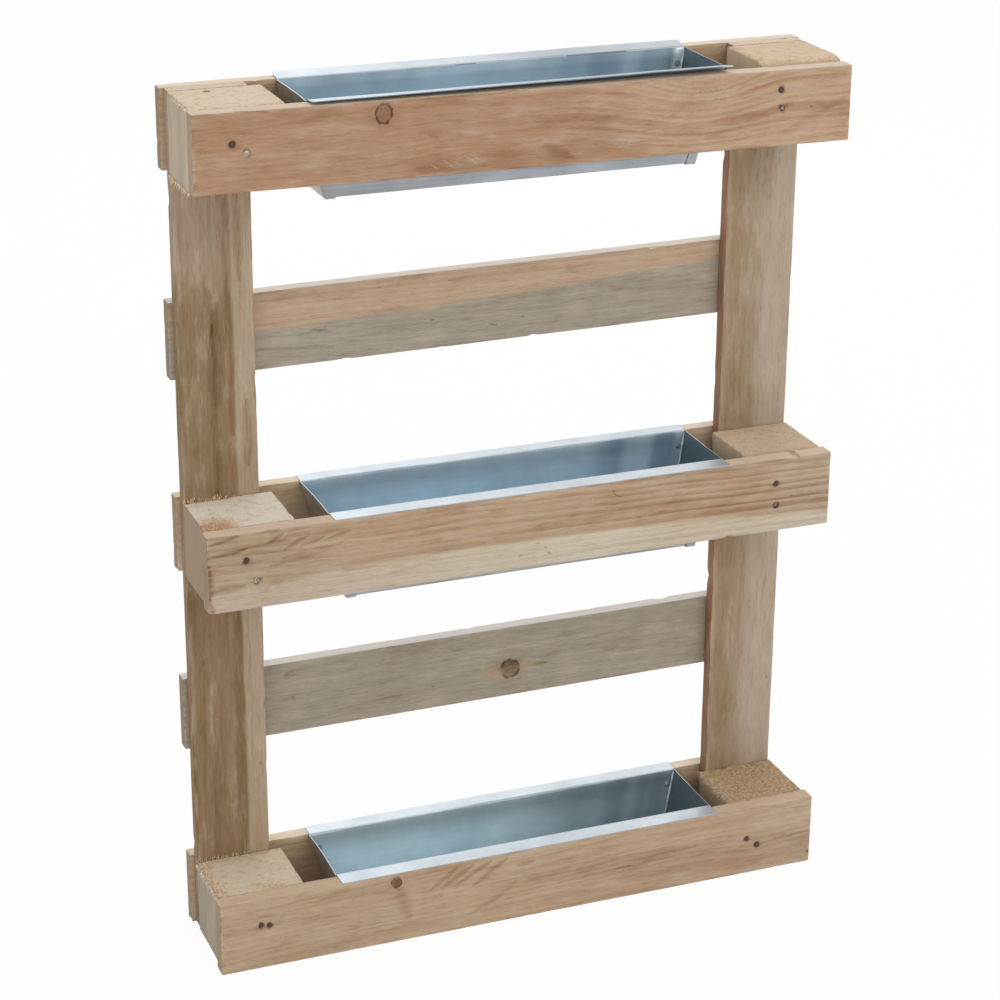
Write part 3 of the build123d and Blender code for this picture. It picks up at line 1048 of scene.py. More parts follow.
def sawn_surface(tree, place, finish, grain, colour):
    """Streaks, pores, blotches and specks of a sawn face, its cut ends, and a painted highlight on its faces
    that look up.
    """
    wood = colours()
    cut = tree.attribute("cut")
    colour = tree.glaze(grain["Tone"].step(0.3, 0.7, 0.0, 0.6), colour, glazes["tone"])
    streak = grain["Streak"].step(0.36, 0.68, 0.0, finish.get("streak", 0.36))
    colour = tree.glaze(streak, colour, glazes["streak"])
    colour = tree.cover(grain["Pores"] * 0.05, colour, shade(wood.bark_ring, 1.4))
    blotch = tree.cloud(place, (0.022, 0.08, 0.08), 5.0, 0.65)
    colour = tree.glaze(blotch.step(0.50, 0.72, 0.0, 0.75), colour, glazes["blotch"])
    colour = tree.cover(blotch.step(0.50, 0.30, 0.0, 0.32), colour, shade(wood.fresh_edge, 0.86))
    fibre = tree.cloud(place, (0.07, 0.8, 0.8), 4.0, 0.7)
    colour = tree.glaze(fibre.step(0.50, 0.72, 0.0, 0.5), colour, glazes["fibre"])
    speck = tree.add("TexVoronoi", {"Vector": place * (0.022, 0.05, 0.05), "Scale": 1.0}, "Distance")
    colour = tree.cover(speck.step(0.03, 0.06, 0.4, 0.0), colour, shade(wood.bark_ring, 1.3))
    rough_end = tree.cloud(place, (0.5, 0.45, 0.45), 4.0).step(0.3, 0.7, 0.05, 0.4)
    colour = tree.cover(cut * 0.75, colour, linear(finish.get("end", (0.54, 0.48, 0.40))))
    colour = tree.glaze(cut * rough_end, colour, glazes["sawn_end"])
    # Faces that look up are painted pale in the edge colour, as a painted highlight of the light from above.
    pale = tree.glaze(streak, linear(finish.get("edge", wood.fresh_edge)), glazes["pale_streak"])
    return tree.cover(tree.attribute("upper") * 0.85, colour, pale)


def worn_edges(tree, place, colour):
    """Edges of a timber rubbed pale in places and soiled in others."""
    arris = tree.attribute("arris")
    rubbed = tree.cloud(place, (0.03, 0.2, 0.2), 3.0)
    worn = arris**2.0 * rubbed.step(0.42, 0.6, 0.0, 0.4)
    colour = tree.cover(worn, colour, shade(colours().fresh_edge, 0.88))
    soiled = arris**3.0 * rubbed.step(0.36, 0.5, 0.4, 0.0)
    return tree.glaze(soiled, colour, glazes["soiled_edge"])


def grain_strokes(tree, place, finish, colour):
    """Dark marks and pale glints drawn along the grain, worn away in places."""
    drawn = place + tree.wobble(place, (0.05, 0.05, 0.11), 4.0, 0.6) * 5.0
    worn_away = tree.cloud(place, (0.06, 0.4, 0.4), 3.0).step(0.32, 0.6, 0.45, 1.1)
    worn_away = worn_away * tree.attribute("cut").step(0.0, 1.0, 1.0, 0.2)
    for stroke in finish.get("marks", ()):
        colour = tree.glaze(stroked(tree, drawn, stroke) * worn_away, colour, glazes["mark"])
    glint = linear(finish.get("glint_colour", (0.80, 0.735, 0.655)))
    for stroke in finish.get("glints", ()):
        colour = tree.cover(stroked(tree, drawn, stroke), colour, glint)
    return colour


def timber_material(node, finish, turn):
    """Sawn softwood with its own rings, knots, sapwood, weathering, worn edges and nail stains, a painted
    highlight on faces that look up and painted shade on faces that look to the left.
    """
    wood = colours()
    material, tree = new_material(node + "_wood")
    low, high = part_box(node)
    place = tree.millimetres((low + high) / 2, turn)
    grain, knots = timber_grain(tree, place, finish)
    figure = finish["figure"]
    if isinstance(figure, tuple):
        figure = tree.split(place)[0].step(*figure)
    lines = grain["Late"] * (grain["Tone"].step(0.3, 0.7, 0.6, 1.3) * figure)
    colour, late = heartwood(tree, place, finish, lines)
    colour = aged_wood(tree, place, finish, lines, colour, late)
    colour = knotted(tree, finish, knots, colour)
    # Faces that look to the left are painted in the flank colour, as painted shade.
    if "flank" in finish:
        colour = tree.cover(tree.attribute("flank") * 0.9, colour, linear(finish["flank"]))
    colour = sawn_surface(tree, place, finish, grain, colour)
    colour = worn_edges(tree, place, colour)
    colour = grain_strokes(tree, place, finish, colour)
    stain = tree.attribute("stain").step(0.25, 0.9, 0.0, 0.66)
    fibres = grain["Late"] * 0.3 + grain["Streak"] - grain["Pores"] * 0.3
    saw = tree.cloud(place, (0.28, 0.02, 0.02))
    tree.finish(
        colour=tree.cover(stain, colour, shade(wood.bark_ring, 0.8)),
        roughness=grain["Streak"] * 0.2 + 0.66,
        specular=0.25,
        normal=tree.relief(fibres + saw * 0.3, 0.0005),
    )
    return material


def block_material(node, finish):
    """A pallet block with upright fibres, rough sawn end grain and torn patches."""
    wood = colours()
    material, tree = new_material(node + "_wood")
    low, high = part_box(node)
    seed = finish["seed"]
    place = tree.millimetres((low + high) / 2, upright_fibres)
    draw = random.Random(int(seed * 10))
    pith = (0, draw.uniform(-70, 70), draw.choice((-1, 1)) * draw.uniform(30, 80))
    values = {"pith": pith, "drift": (0, 0, 0.02), "ring_width": 5.0, "wander": 3.0, "seed": seed}
    grain = tree.group("Timber Grain", place=place, **values)
    lightness = finish["lightness"]
    # Above 1, the side value is painted light on the long-grain faces.
    side_light = lightness * finish.get("side", 1.0)
    side = shade(wood.end_grain, side_light * 0.93, finish.get("side_warmth", 0.02))
    side = tree.cover(grain["Late"] * 0.1, side, shade(wood.late_wood, side_light))
    grey = shade(wood.weathered_wood, side_light)
    values = {"colour": side, "grey": grey, "amount": finish["grey"] + 0.3, "seed": seed}
    side = tree.group("Weathering", place=place, **values)["Colour"]
    side = tree.glaze(grain["Streak"].step(0.36, 0.66, 0.0, 0.35), side, glazes["side_streak"])
    pale = shade(wood.end_grain, lightness, finish.get("warmth", 0.0))
    sawn = tree.cover(grain["Late"] * 0.07, pale, shade(wood.late_wood, lightness * 1.1))
    coarse = tree.cloud(place, (0.2, 0.32, 0.32), 5.0, 0.7)
    patches = tree.cloud(place, (0.02, 0.035, 0.035), 3.0, 0.6)
    torn = patches * 0.6 + (finish["torn"] - 0.36) + tree.attribute("torn") * 0.8 + (coarse - 0.5) * 0.9
    torn_fibre = finish.get("fibre", wood.torn_fibre)
    fibre = tree.cover(coarse.step(0.35, 0.65), shade(torn_fibre, 0.84), shade(torn_fibre, 1.18))
    sawn = tree.cover(torn.step(0.12, 0.6, 0.0, 0.85), sawn, fibre)
    fine = tree.cloud(place, (0.45, 0.5, 0.5), 4.0, 0.7)
    sawn = tree.glaze(fine.step(0.56, 0.72, 0.0, 0.5), sawn, glazes["end_specks"])
    sawn = tree.cover(fine.step(0.44, 0.30, 0.0, 0.5), sawn, shade(wood.fresh_edge, 1.02))
    clumps = tree.cloud(place, (0.06, 0.11, 0.11), 4.0, 0.65)
    sawn = tree.glaze(clumps.step(0.5, 0.72, 0.0, 0.7), sawn, glazes["end_clumps"])
    cut = tree.attribute("cut")
    colour = tree.cover(cut, side, sawn)
    rubbed = tree.cloud(place, (0.05, 0.12, 0.12), 3.0).step(0.4, 0.6, 0.0, 0.35)
    colour = tree.glaze(tree.attribute("arris") ** 2.5 * rubbed, colour, glazes["block_edge"])
    stain = tree.attribute("stain").step(0.15, 0.9, 0.0, 0.85)
    tree.finish(
        colour=tree.cover(stain, colour, shade(wood.bark_ring, 0.9)),
        roughness=coarse * 0.15 + 0.78,
        specular=0.2,
        normal=tree.relief(grain["Streak"] * 0.6 + (coarse + fine) * cut, 0.0011),
    )
    return material


def zinc_material(name, seed, tint=(0.90, 1.03, 1.13, 1), wall_end_shade=1.0, flange_end=1.0, corner_reflection=0.8):
    """Galvanised sheet with painted light: flanges painted bright as a highlight, blue-grey inside walls
    with painted shade and soft painted mirrored strips, the outside painted darker as shade, and faces
    marked dull painted in deep shade.
    """
    metal = colours()
    material, tree = new_material(name)
    place = tree.millimetres()
    tones = {"bright": linear(metal.zinc), "dull": linear(metal.dull_zinc)}
    sheet = tree.group("Galvanised Sheet", place=place, seed=seed, **tones)
    inside = tree.attribute("inside")
    flange = tree.attribute("flange")
    from_end = tree.attribute("from_end")
    # The per-trough inside tint is partly painted light for that trough.
    colour = tree.glaze(inside, sheet["Colour"], tint)
    # Inside walls are painted darker near the rim and lighter further down, as painted shade and painted
    # light.
    colour = tree.glaze(inside, colour, tree.attribute("below_rim").step(-12, 40, 0.40, 1.40))
    # Inside walls are painted darker towards the right end, as painted shade.
    colour = tree.glaze(inside, colour, from_end.step(40, 240, wall_end_shade, 1.0))
    strips = tree.cloud(tree.join(from_end, seed * 7, 0.0), (0.032, 1.0, 1.0), 1.5)
    strips = strips.step(0.38, 0.60) * from_end.step(130, 60) * inside
    colour = tree.glaze(strips, colour, glazes["mirrored_strip"])
    # A bright strip in the inside right corner is a painted reflection.
    corner = from_end.step(13, 5, 0.0, corner_reflection) * inside
    colour = tree.cover(corner, colour, shade(metal.zinc, 1.12))
    # Flanges are painted pale blue-white as a painted highlight, and darker towards the right end as a
    # painted reflection of the dark wood there.
    colour = tree.cover(flange * 0.32, colour, (0.80, 0.86, 0.95, 1))
    colour = tree.glaze(flange, colour, from_end.step(100, 380, flange_end, 1.0))
    # Outside faces are painted darker, in lengthwise streaks, as painted shade.
    drawn = tree.cloud(place, (0.003, 0.14, 0.14)).step(0.34, 0.66)
    plain = tree.cover(drawn, (0.74, 0.67, 0.675, 1), (0.94, 0.865, 0.885, 1))
    # Outside faces that look along the trough are warmed, as a painted reflection of the wood beside them.
    plain = tree.glaze(tree.attribute("beside_wood"), plain, glazes["beside_wood"])
    colour = tree.glaze(tree.attribute("outside"), colour, plain)
    # Faces marked dull, the inside of a right end wall, are painted dark as painted shade.
    tree.finish(
        colour=tree.glaze(tree.attribute("dull"), colour, glazes["dull_plate"]),
        roughness=sheet["Roughness"] + 0.04,
        metallic=0.45,
        specular=0.6,
        normal=tree.relief(sheet["Height"], 0.0001),
    )
    return material


def steel_material(name, bright, dark, share):
    """Worn metal of a fastener, partly under dark oxide; heads marked bright keep more of their metal."""
    material, tree = new_material(name)
    place = tree.millimetres()
    patches = tree.cloud(place, (0.32, 0.32, 0.32), 4.0, 0.6)
    kept = tree.attribute("bright") * 0.34 + (share - 0.17)
    oxide = (patches - kept).step(-0.1, 0.1)
    scratch = tree.cloud(place, (1.6, 1.6, 0.5)).step(0.4, 0.7)
    metal = tree.glaze(scratch, linear(bright), glazes["scratch"])
    tree.finish(
        colour=tree.cover(oxide, metal, linear(dark)),
        roughness=oxide.step(0.0, 1.0, 0.35, 0.75),
        metallic=oxide.step(0.0, 1.0, 0.9, 0.1),
        normal=tree.relief(patches, 0.0004),
    )
    return material


def splinter_material(name, finish):
    """Loose fibres of torn end grain."""
    wood = colours()
    material, tree = new_material(name)
    tone = tree.cloud(tree.millimetres(), (0.4, 0.4, 0.1), 3.0)
    dark = shade(finish.get("fibre", wood.torn_fibre), 1.0, -0.02)
    pale = shade(wood.end_grain, finish["lightness"] * 1.02)
    tree.finish(
        colour=tree.cover(tone.step(0.35, 0.65), dark, pale),
        roughness=tone.step(0.3, 0.7, 0.7, 0.9),
        specular=0.2,
    )
    return material


def model_timber(node, slot, fibre_axis=0, facing=None, places=()):
    """Models a board with chipped edges, settled ends and a dent at each nail driven into its face."""
    sizes = timber_sizes()
    low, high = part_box(node)
    finish = timber_finishes[node]
    timber = sawn_timber(node, sizes.board_cell, fibre_axis)
    spots = spots_on(node, places)
    if spots:
        refine_round(timber, spots, facing, sizes.dent_surround)
    chip_edges(timber, low, high, sizes.chip_depth, finish["seed"])
    break_corners(timber, low, high, finish.get("chips", ()))
    settle(timber, low, high, *finish.get("settled", (0, 0, 0)))
    if spots:
        press_dents(timber, spots, facing, sizes.dent_radius, sizes.dent_depth)
    mark_cut_ends(timber, fibre_axis)
    smooth(timber)
    turn = upright_fibres if fibre_axis == 2 else (0, 0, 0)
    dress(timber, timber_material(node, finish, turn))
    keep_piece(timber, "frame", slot, node)


class PLANTER_OT_front_boards(bpy.types.Operator):
    """Models the three boards across the front, with nail dents and chipped edges"""

    bl_idname = "planter.front_boards"
    bl_label = "Front Boards"

    def execute(self, context):
        places = nail_places("front_nails", frontwards)
        for row in row_names:
            model_timber(f"front_board_{row}", "front_wood", 0, frontwards, places)
        return {"FINISHED"}


class PLANTER_OT_uprights(bpy.types.Operator):
    """Models the two uprights behind the blocks"""

    bl_idname = "planter.uprights"
    bl_label = "Uprights"

    def execute(self, context):
        for side in side_names:
            model_timber(f"upright_{side}", "upright_wood", 2)
        return {"FINISHED"}


class PLANTER_OT_rear_slats(bpy.types.Operator):
    """Models the five slats across the back, with nail dents"""

    bl_idname = "planter.rear_slats"
    bl_label = "Rear Slats"

    def execute(self, context):
        places = nail_places("row_nails", backwards) + nail_places("slat_nails", backwards)
        for slat in slat_names:
            model_timber(f"rear_slat_{slat}", "slat_wood", 0, backwards, places)
        return {"FINISHED"}


top_zone = 0.003
sunk_zone = 0.014


def torn_share(node, point, low, high):
    """How torn the end grain of a block is at a point of its top, from 0 smooth to 1 ragged."""
    across = (point.x - low.x) / (high.x - low.x)
    back = (point.y - low.y) / (high.y - low.y)
    if node == "block_middle_left":
        corner = math.hypot((across - 0.12) / 0.42, (back - 0.05) / 0.55)
        rear = abs(back - 0.97) / 0.08 + max(0.0, across - 0.5) * 3
        return max(0.0, 1.0 - corner, 0.8 - rear)
    if node == "block_bottom_left":
        front = math.hypot((across - 0.65) / 0.42, (back - 0.06) / 0.34)
        return max(0.0, 0.9 - across / 0.26, 0.7 - abs(back - 0.95) / 0.1, 0.8 - front)
    if node == "block_top_left":
        return max(0.0, 0.55 - back / 0.2)
    if node == "block_top_right":
        return max(0.0, 0.3 - across / 0.5, 0.3 - back / 0.4)
    if node == "block_bottom_right":
        return 0.75
    return max(0.0, 0.4 - back / 0.3)


def tear_top(block, node, finish, low, high):
    """Roughens the end grain on top of a block, and marks where it is torn."""
    torn = []
    for vertex in block.data.vertices:
        share = 0.0
        if vertex.co.z > high.z - top_zone:
            share = torn_share(node, vertex.co, low, high)
            place = Vector((vertex.co.x, vertex.co.y, finish["seed"]))
            ridges = abs(noise.fractal(place * 190, 0.7, 2.0, 4))
            swell = 0.5 + 0.5 * noise.noise(place * 42)
            depth = timber_sizes().end_grain_depth * (0.35 + 1.6 * share)
            vertex.co.z -= depth * min(1.5, 0.5 * swell + ridges)
            front = max(0.0, 1.0 - (vertex.co.y - low.y) / sunk_zone)
            vertex.co.z -= finish.get("sunk", 0.0) * front * front
        torn.append(share)
    return torn


class PLANTER_OT_blocks(bpy.types.Operator):
    """Models the six spacer blocks, whose tops are rough end grain"""

    bl_idname = "planter.blocks"
    bl_label = "Spacer Blocks"

    def execute(self, context):
        for node, finish in block_finishes.items():
            self.model_block(node, finish)
        return {"FINISHED"}

    def model_block(self, node, finish):
        sizes = timber_sizes()
        low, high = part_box(node)
        block = sawn_timber(node, sizes.block_cell, 2)
        with editing(block):
            cut_up(block, "FACE", lambda face: face.normal.z > 0.8, 1)
        holes = [Vector((x / 1000, y / 1000, high.z)) for x, y in finish.get("holes", ())]
        if holes:
            refine_round(block, holes, axes[2], sizes.hole_surround)
        chip_edges(block, low, high, sizes.chip_depth * finish.get("chipped", 1.0), finish["seed"])
        torn = tear_top(block, node, finish, low, high)
        if holes:
            press_dents(block, holes, axes[2], sizes.hole_radius, sizes.hole_depth)
        write_attribute(block, "torn", "POINT", torn)
        mark_cut_ends(block, 2)
        smooth(block, 28)
        dress(block, block_material(node, finish))
        keep_piece(block, "frame", "block_wood", node)


def driven_nail():
    """One nail head with a rolled rim, a shallow dome and the start of its shank, driven along +Y."""
    sizes = bpy.context.scene.planter_nails
    nail = add_piece(
        "driven_nail",
        bpy.ops.mesh.primitive_cylinder_add,
        vertices=20,
        radius=sizes.head_radius,
        depth=sizes.head_thickness,
        rotation=(math.radians(90), 0, 0),
    )
    with editing(nail):
        pick(nail, "FACE", lambda face: face.normal.y < -0.9)
        bpy.ops.mesh.inset(thickness=sizes.rim, depth=sizes.dome)
        bpy.ops.mesh.inset(thickness=sizes.crown, depth=sizes.crown_rise)
        pick(nail, "FACE", lambda face: face.normal.y > 0.9)
        bpy.ops.mesh.inset(thickness=sizes.shoulder)
        bpy.ops.mesh.extrude_region_move(TRANSFORM_OT_translate={"value": (0, sizes.shank, 0)})
    round_edges(nail, sizes.worn_edge)
    return nail


class PLANTER_OT_nails(bpy.types.Operator):
    """Models the driven nail heads at the front and back"""

    bl_idname = "planter.nails"
    bl_label = "Nails"

    def execute(self, context):
        metal = colours()
        pattern = driven_nail()
        draw = random.Random(27)
        for node, facing, share in (
            ("front_nails", frontwards, 0.44),
            ("row_nails", backwards, 0.42),
            ("slat_nails", backwards, 0.42),
        ):
            places = nail_places(node, facing)
            heads = [self.drive(context, pattern, draw, place, places, facing) for place in places]
            nails = join_all("driven_" + node, heads)
            smooth(nails, 40)
            dress(nails, steel_material(node + "_steel", metal.nail, metal.nail_rust, share))
            keep_piece(nails, "frame", "nail_steel", node)
        bpy.data.objects.remove(pattern)
        return {"FINISHED"}

    def drive(self, context, pattern, draw, place, places, facing):
        """Sets one nail head into its place, a little askew; the lower of two in a row on the front, more
        than 10 cm up, is rubbed bright, more so on the left.
        """
        head = pattern.copy()
        head.data = pattern.data.copy()
        context.scene.collection.objects.link(head)
        sizes = context.scene.planter_nails
        tilt = sizes.askew
        turn = (draw.uniform(-tilt, tilt), draw.uniform(0, full_turn), draw.uniform(-tilt, tilt))
        matrix = Euler(turn).to_matrix().to_4x4()
        if facing.y > 0:
            matrix = Matrix.Rotation(math.pi, 4, "Z") @ matrix
        sunk = sizes.sunk + draw.uniform(0, sizes.sunk_more)
        head.data.transform(Matrix.Translation(place - facing * sunk) @ matrix)
        lower = any(0.01 < other.z - place.z < 0.06 for other in places)
        rubbed = lower and facing.y < 0 and place.z > 0.1
        brightness = float(rubbed) * (1.0 if place.x < 0 else 0.4)
        write_attribute(head, "bright", "FACE", [brightness] * len(head.data.polygons))
        return head


def trough_outline(row):
    """Edges of a trough's outside: ends, front and rear at rim and base, flanges and heights."""
    sizes = trough_sizes()
    low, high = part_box(f"trough_{row}_channel")
    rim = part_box(f"trough_{row}_end_left")[1].z - sizes.end_wall_rise
    middle = (low.x + high.x) / 2
    half_rim = (high.x - low.x) / 2 - max(0.0, high.z - rim) * sizes.end_wall_lean / (rim - low.z)
    half_base = half_rim - sizes.end_wall_lean
    front_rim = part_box(f"front_board_{row}")[1].y + sizes.wall_clearance
    rear_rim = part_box("upright_left")[1].y - sizes.wall_clearance
    return SimpleNamespace(
        rim=rim,
        base=low.z,
        middle=middle,
        half_rim=half_rim,
        half_base=half_base,
        ends_rim={"left": middle - half_rim, "right": middle + half_rim},
        ends_base={"left": middle - half_base, "right": middle + half_base},
        front_rim=front_rim,
        rear_rim=rear_rim,
        front_base=front_rim + sizes.long_wall_lean,
        rear_base=rear_rim - sizes.long_wall_lean,
        front_flange=low.y,
        rear_flange=high.y,
    )


def plane_through(name, corners):
    """A plane whose four corners are moved to given points, in order round it."""
    piece = add_piece(name, bpy.ops.mesh.primitive_plane_add, size=0.1)
    for index, corner in zip((0, 1, 3, 2), corners):
        piece.data.vertices[index].co = corner
    return piece


def pull_edge(piece, test, offset):
    """Extrudes the chosen edges of a sheet by an offset and leaves the new edges selected."""
    pick(piece, "EDGE", test)
    bpy.ops.mesh.extrude_region_move(TRANSFORM_OT_translate={"value": offset})


def face_one_way():
    """In edit mode, turns all faces of a sheet to the same side."""
    bpy.ops.mesh.select_all(action="SELECT")
    bpy.ops.mesh.normals_make_consistent(inside=False)


def turn_over(piece):
    """Turns the faces of a sheet to its other side."""
    with editing(piece):
        bpy.ops.mesh.select_all(action="SELECT")
        bpy.ops.mesh.flip_normals()


def finish_sheet(piece, outline, body, node, material, dull=lambda face: False):
    """Gives a folded sheet its thickness, marks and finish."""
    shape_by(piece, "Sheet", "SOLIDIFY", thickness=trough_sizes().sheet, offset=1, use_even_offset=True)
    mark_sheet(piece, outline, dull)
    smooth(piece, 40)
    dress(piece, material)
    keep_piece(piece, body, "zinc_sheet", node)


def mark_sheet(piece, outline, dull):
    """Marks the sides and flanges of a sheet, the faces to paint in deep shade, the outside faces beside the
    wood, and how far off its right end and rim are.
    """
    piece.data.update()
    tests = {
        "outside": lambda face: face.normal.z < -0.02,
        "inside": lambda face: face.normal.z > 0.02 and abs(face.normal.y) > 0.6,
        "flange": lambda face: face.normal.z > 0.9 and face.center.z > outline.rim - 0.002,
        # dull marks the faces painted in deep shade.
        "dull": dull,
        # Outside faces that look along the trough take the painted reflection of the wood.
        "beside_wood": lambda face: face.normal.z < -0.02 and abs(face.normal.x) > 0.7,
    }
    for name, test in tests.items():
        write_attribute(piece, name, "FACE", [float(test(face)) for face in piece.data.polygons])
    lean = outline.ends_rim["right"] - outline.ends_base["right"]
    steps = []
    depths = []
    for vertex in piece.data.vertices:
        share = (vertex.co.z - outline.base) / (outline.rim - outline.base)
        steps.append(1000 * (outline.ends_base["right"] + lean * min(1.0, share) - vertex.co.x))
        depths.append(1000 * (outline.rim - vertex.co.z))
    write_attribute(piece, "from_end", "POINT", steps)
    write_attribute(piece, "below_rim", "POINT", depths)


def stretch_rim(piece, outline):
    """Moves the ends of a channel's walls and flanges out to the sloping end planes."""
    growth = outline.half_rim / outline.half_base - 1
    for vertex in piece.data.vertices:
        share = min(1.0, max(0.0, (vertex.co.z - outline.base) / (outline.rim - outline.base)))
        vertex.co.x = outline.middle + (vertex.co.x - outline.middle) * (1 + share * growth)


def slacken_flanges(channel, outline, slope, seed):
    """Lets the flanges of a channel sag unevenly, and the front one stand up less towards the left."""
    left, right = outline.ends_rim["left"], outline.ends_rim["right"]
    rest = outline.rim + slope * 0.0026
    for vertex in channel.data.vertices:
        if vertex.co.z > outline.rim - 0.0003:
            sag = 0.5 + 0.5 * noise.noise(Vector((vertex.co.x * 14, vertex.co.y * 9, seed)))
            vertex.co.z -= trough_sizes().sag * sag
        if vertex.co.y < 0 and vertex.co.z > rest:
            lift = 0.6 + 0.4 * (vertex.co.x - left) / (right - left)
            vertex.co.z = rest + (vertex.co.z - rest) * min(1.0, lift)


class PLANTER_OT_trough_channels(bpy.types.Operator):
    """Folds the three channels: front flange, front wall, base, rear wall and rear flange"""

    bl_idname = "planter.trough_channels"
    bl_label = "Trough Channels"

    def execute(self, context):
        for index, row in enumerate(row_names):
            self.fold_channel(row, index)
        return {"FINISHED"}

    def fold_channel(self, row, index):
        sizes = trough_sizes()
        outline = trough_outline(row)
        base, rim = outline.base, outline.rim
        left, right = outline.ends_base["left"], outline.ends_base["right"]
        front, rear = outline.front_base, outline.rear_base
        corners = ((left, front, base), (right, front, base), (right, rear, base), (left, rear, base))
        channel = plane_through(f"folded_trough_{row}", corners)
        slope = math.tan(sizes.flange_angle) if row == "top" else 0.0
        lengthwise = runs_along(axes[0])
        with editing(channel):
            for wall_base, wall_rim, flange in (
                (front, outline.front_rim, outline.front_flange),
                (rear, outline.rear_rim, outline.rear_flange),
            ):
                reach = flange - wall_rim
                pull_edge(channel, at_level(1, wall_base), (0, wall_rim - wall_base, rim - base))
                pull_edge(channel, at_level(1, wall_rim), (0, reach, slope * abs(reach)))
            pick(channel, "EDGE", is_fold)
            bpy.ops.mesh.bevel(offset=sizes.bend, segments=3, affect="EDGES")
            cut_up(channel, "EDGE", lengthwise, 79)
            cut_up(channel, "EDGE", lambda edge: not lengthwise(edge) and edge.calc_length() > 0.012, 9)
            face_one_way()
        stretch_rim(channel, outline)
        floor_face = next(face for face in channel.data.polygons if abs(face.center.z - base) < 0.0005)
        if floor_face.normal.z < 0:
            turn_over(channel)
        walls = channel.vertex_groups.new(name="walls")
        for vertex in channel.data.vertices:
            share = min(rim - vertex.co.z, vertex.co.z - base + 0.004) / 0.02
            walls.add([vertex.index], min(1.0, max(0.0, share)), "REPLACE")
        wander_inwards(channel, sizes.ripple, sizes.ripple_grain, 0.5, "walls")
        slacken_flanges(channel, outline, slope, index * 5.0)
        material = zinc_material(f"trough_{row}_zinc", 1.0 + index, *zinc_finishes[row])
        finish_sheet(channel, outline, f"trough_{row}", f"trough_{row}_channel", material)


class PLANTER_OT_trough_ends(bpy.types.Operator):
    """Folds the six end walls, with folds over the channel"""

    bl_idname = "planter.trough_ends"
    bl_label = "Trough Ends"

    def execute(self, context):
        for index, row in enumerate(row_names):
            for side in side_names:
                self.fold_end(row, side, 5.0 + 2 * index + (side == "right"))
        return {"FINISHED"}

    def fold_end(self, row, side, seed):
        sizes = trough_sizes()
        outline = trough_outline(row)
        inward = inward_step[side]
        gap = sizes.seam_gap
        x_rim = outline.ends_rim[side] - inward * 0.0001
        x_base = outline.ends_base[side] - inward * 0.0001
        front_base, rear_base = outline.front_base - gap, outline.rear_base + gap
        front_rim, rear_rim = outline.front_rim - gap, outline.rear_rim + gap
        base, rim = outline.base - gap, outline.rim
        corners = (
            (x_base, front_base, base),
            (x_base, rear_base, base),
            (x_rim, rear_rim, rim),
            (x_rim, front_rim, rim),
        )
        pan = plane_through(f"folded_end_{row}_{side}", corners)
        fold = (inward * sizes.end_fold, 0, 0)

        def sloping(y_base):
            return lambda edge: (
                abs(edge.verts[0].co.z - edge.verts[1].co.z) > 0.02
                and min(abs(vertex.co.y - y_base) for vertex in edge.verts) < flush
                and all(abs(vertex.co.x - x_rim) < 0.025 for vertex in edge.verts)
            )

        with editing(pan):
            pull_edge(pan, sloping(front_base), fold)
            pull_edge(pan, sloping(rear_base), fold)
            pull_edge(pan, lambda edge: at_level(2, base)(edge) and at_level(0, x_base)(edge), fold)
            face_one_way()
        plate = min(pan.data.polygons, key=lambda face: face.center.x * inward)
        if plate.normal.x * inward > 0:
            turn_over(pan)
        with editing(pan):
            pick(pan, "EDGE", is_fold)
            bpy.ops.mesh.bevel(offset=sizes.pan_bend, segments=2, affect="EDGES")
            bpy.ops.mesh.select_all(action="SELECT")
            bpy.ops.mesh.subdivide(number_cuts=7)
        for vertex in pan.data.vertices:
            rise = (vertex.co.z - base) / (rim - base)
            if abs(vertex.co.x - x_base) < 0.05 and rise > 0.05:
                belly = math.sin(math.pi * min(1.0, (vertex.co.y - front_rim) / (rear_rim - front_rim)))
                push = sizes.belly * belly * rise * (0.6 + 0.8 * noise.noise(vertex.co * 25))
                vertex.co.x += inward * push
        node = f"trough_{row}_end_{side}"
        material = zinc_material(node + "_zinc", seed)
        # The inside of a right end wall is painted in deep shade.
        in_shade = side == "right"
        finish_sheet(
            pan, outline, f"trough_{row}", node, material, lambda face: in_shade and face.normal.x < -0.6
        )


def solder_bead(start, end, width):
    """One uneven bead of solder along a line."""
    run = end - start
    direction = run.normalized()
    bead = add_piece(
        "bead",
        bpy.ops.mesh.primitive_cylinder_add,
        vertices=10,
        radius=width / 2,
        depth=run.length,
        location=(start + end) / 2,
        rotation=run.to_track_quat("Z", "Y").to_euler(),
    )
    with editing(bead):
        cut_up(bead, "EDGE", runs_along(direction), 24)
    for vertex in bead.data.vertices:
        on_line = start + direction * (vertex.co - start).dot(direction)
        swell = 0.72 + 0.5 * noise.noise(vertex.co * 130)
        vertex.co = on_line + (vertex.co - on_line) * swell
    return bead


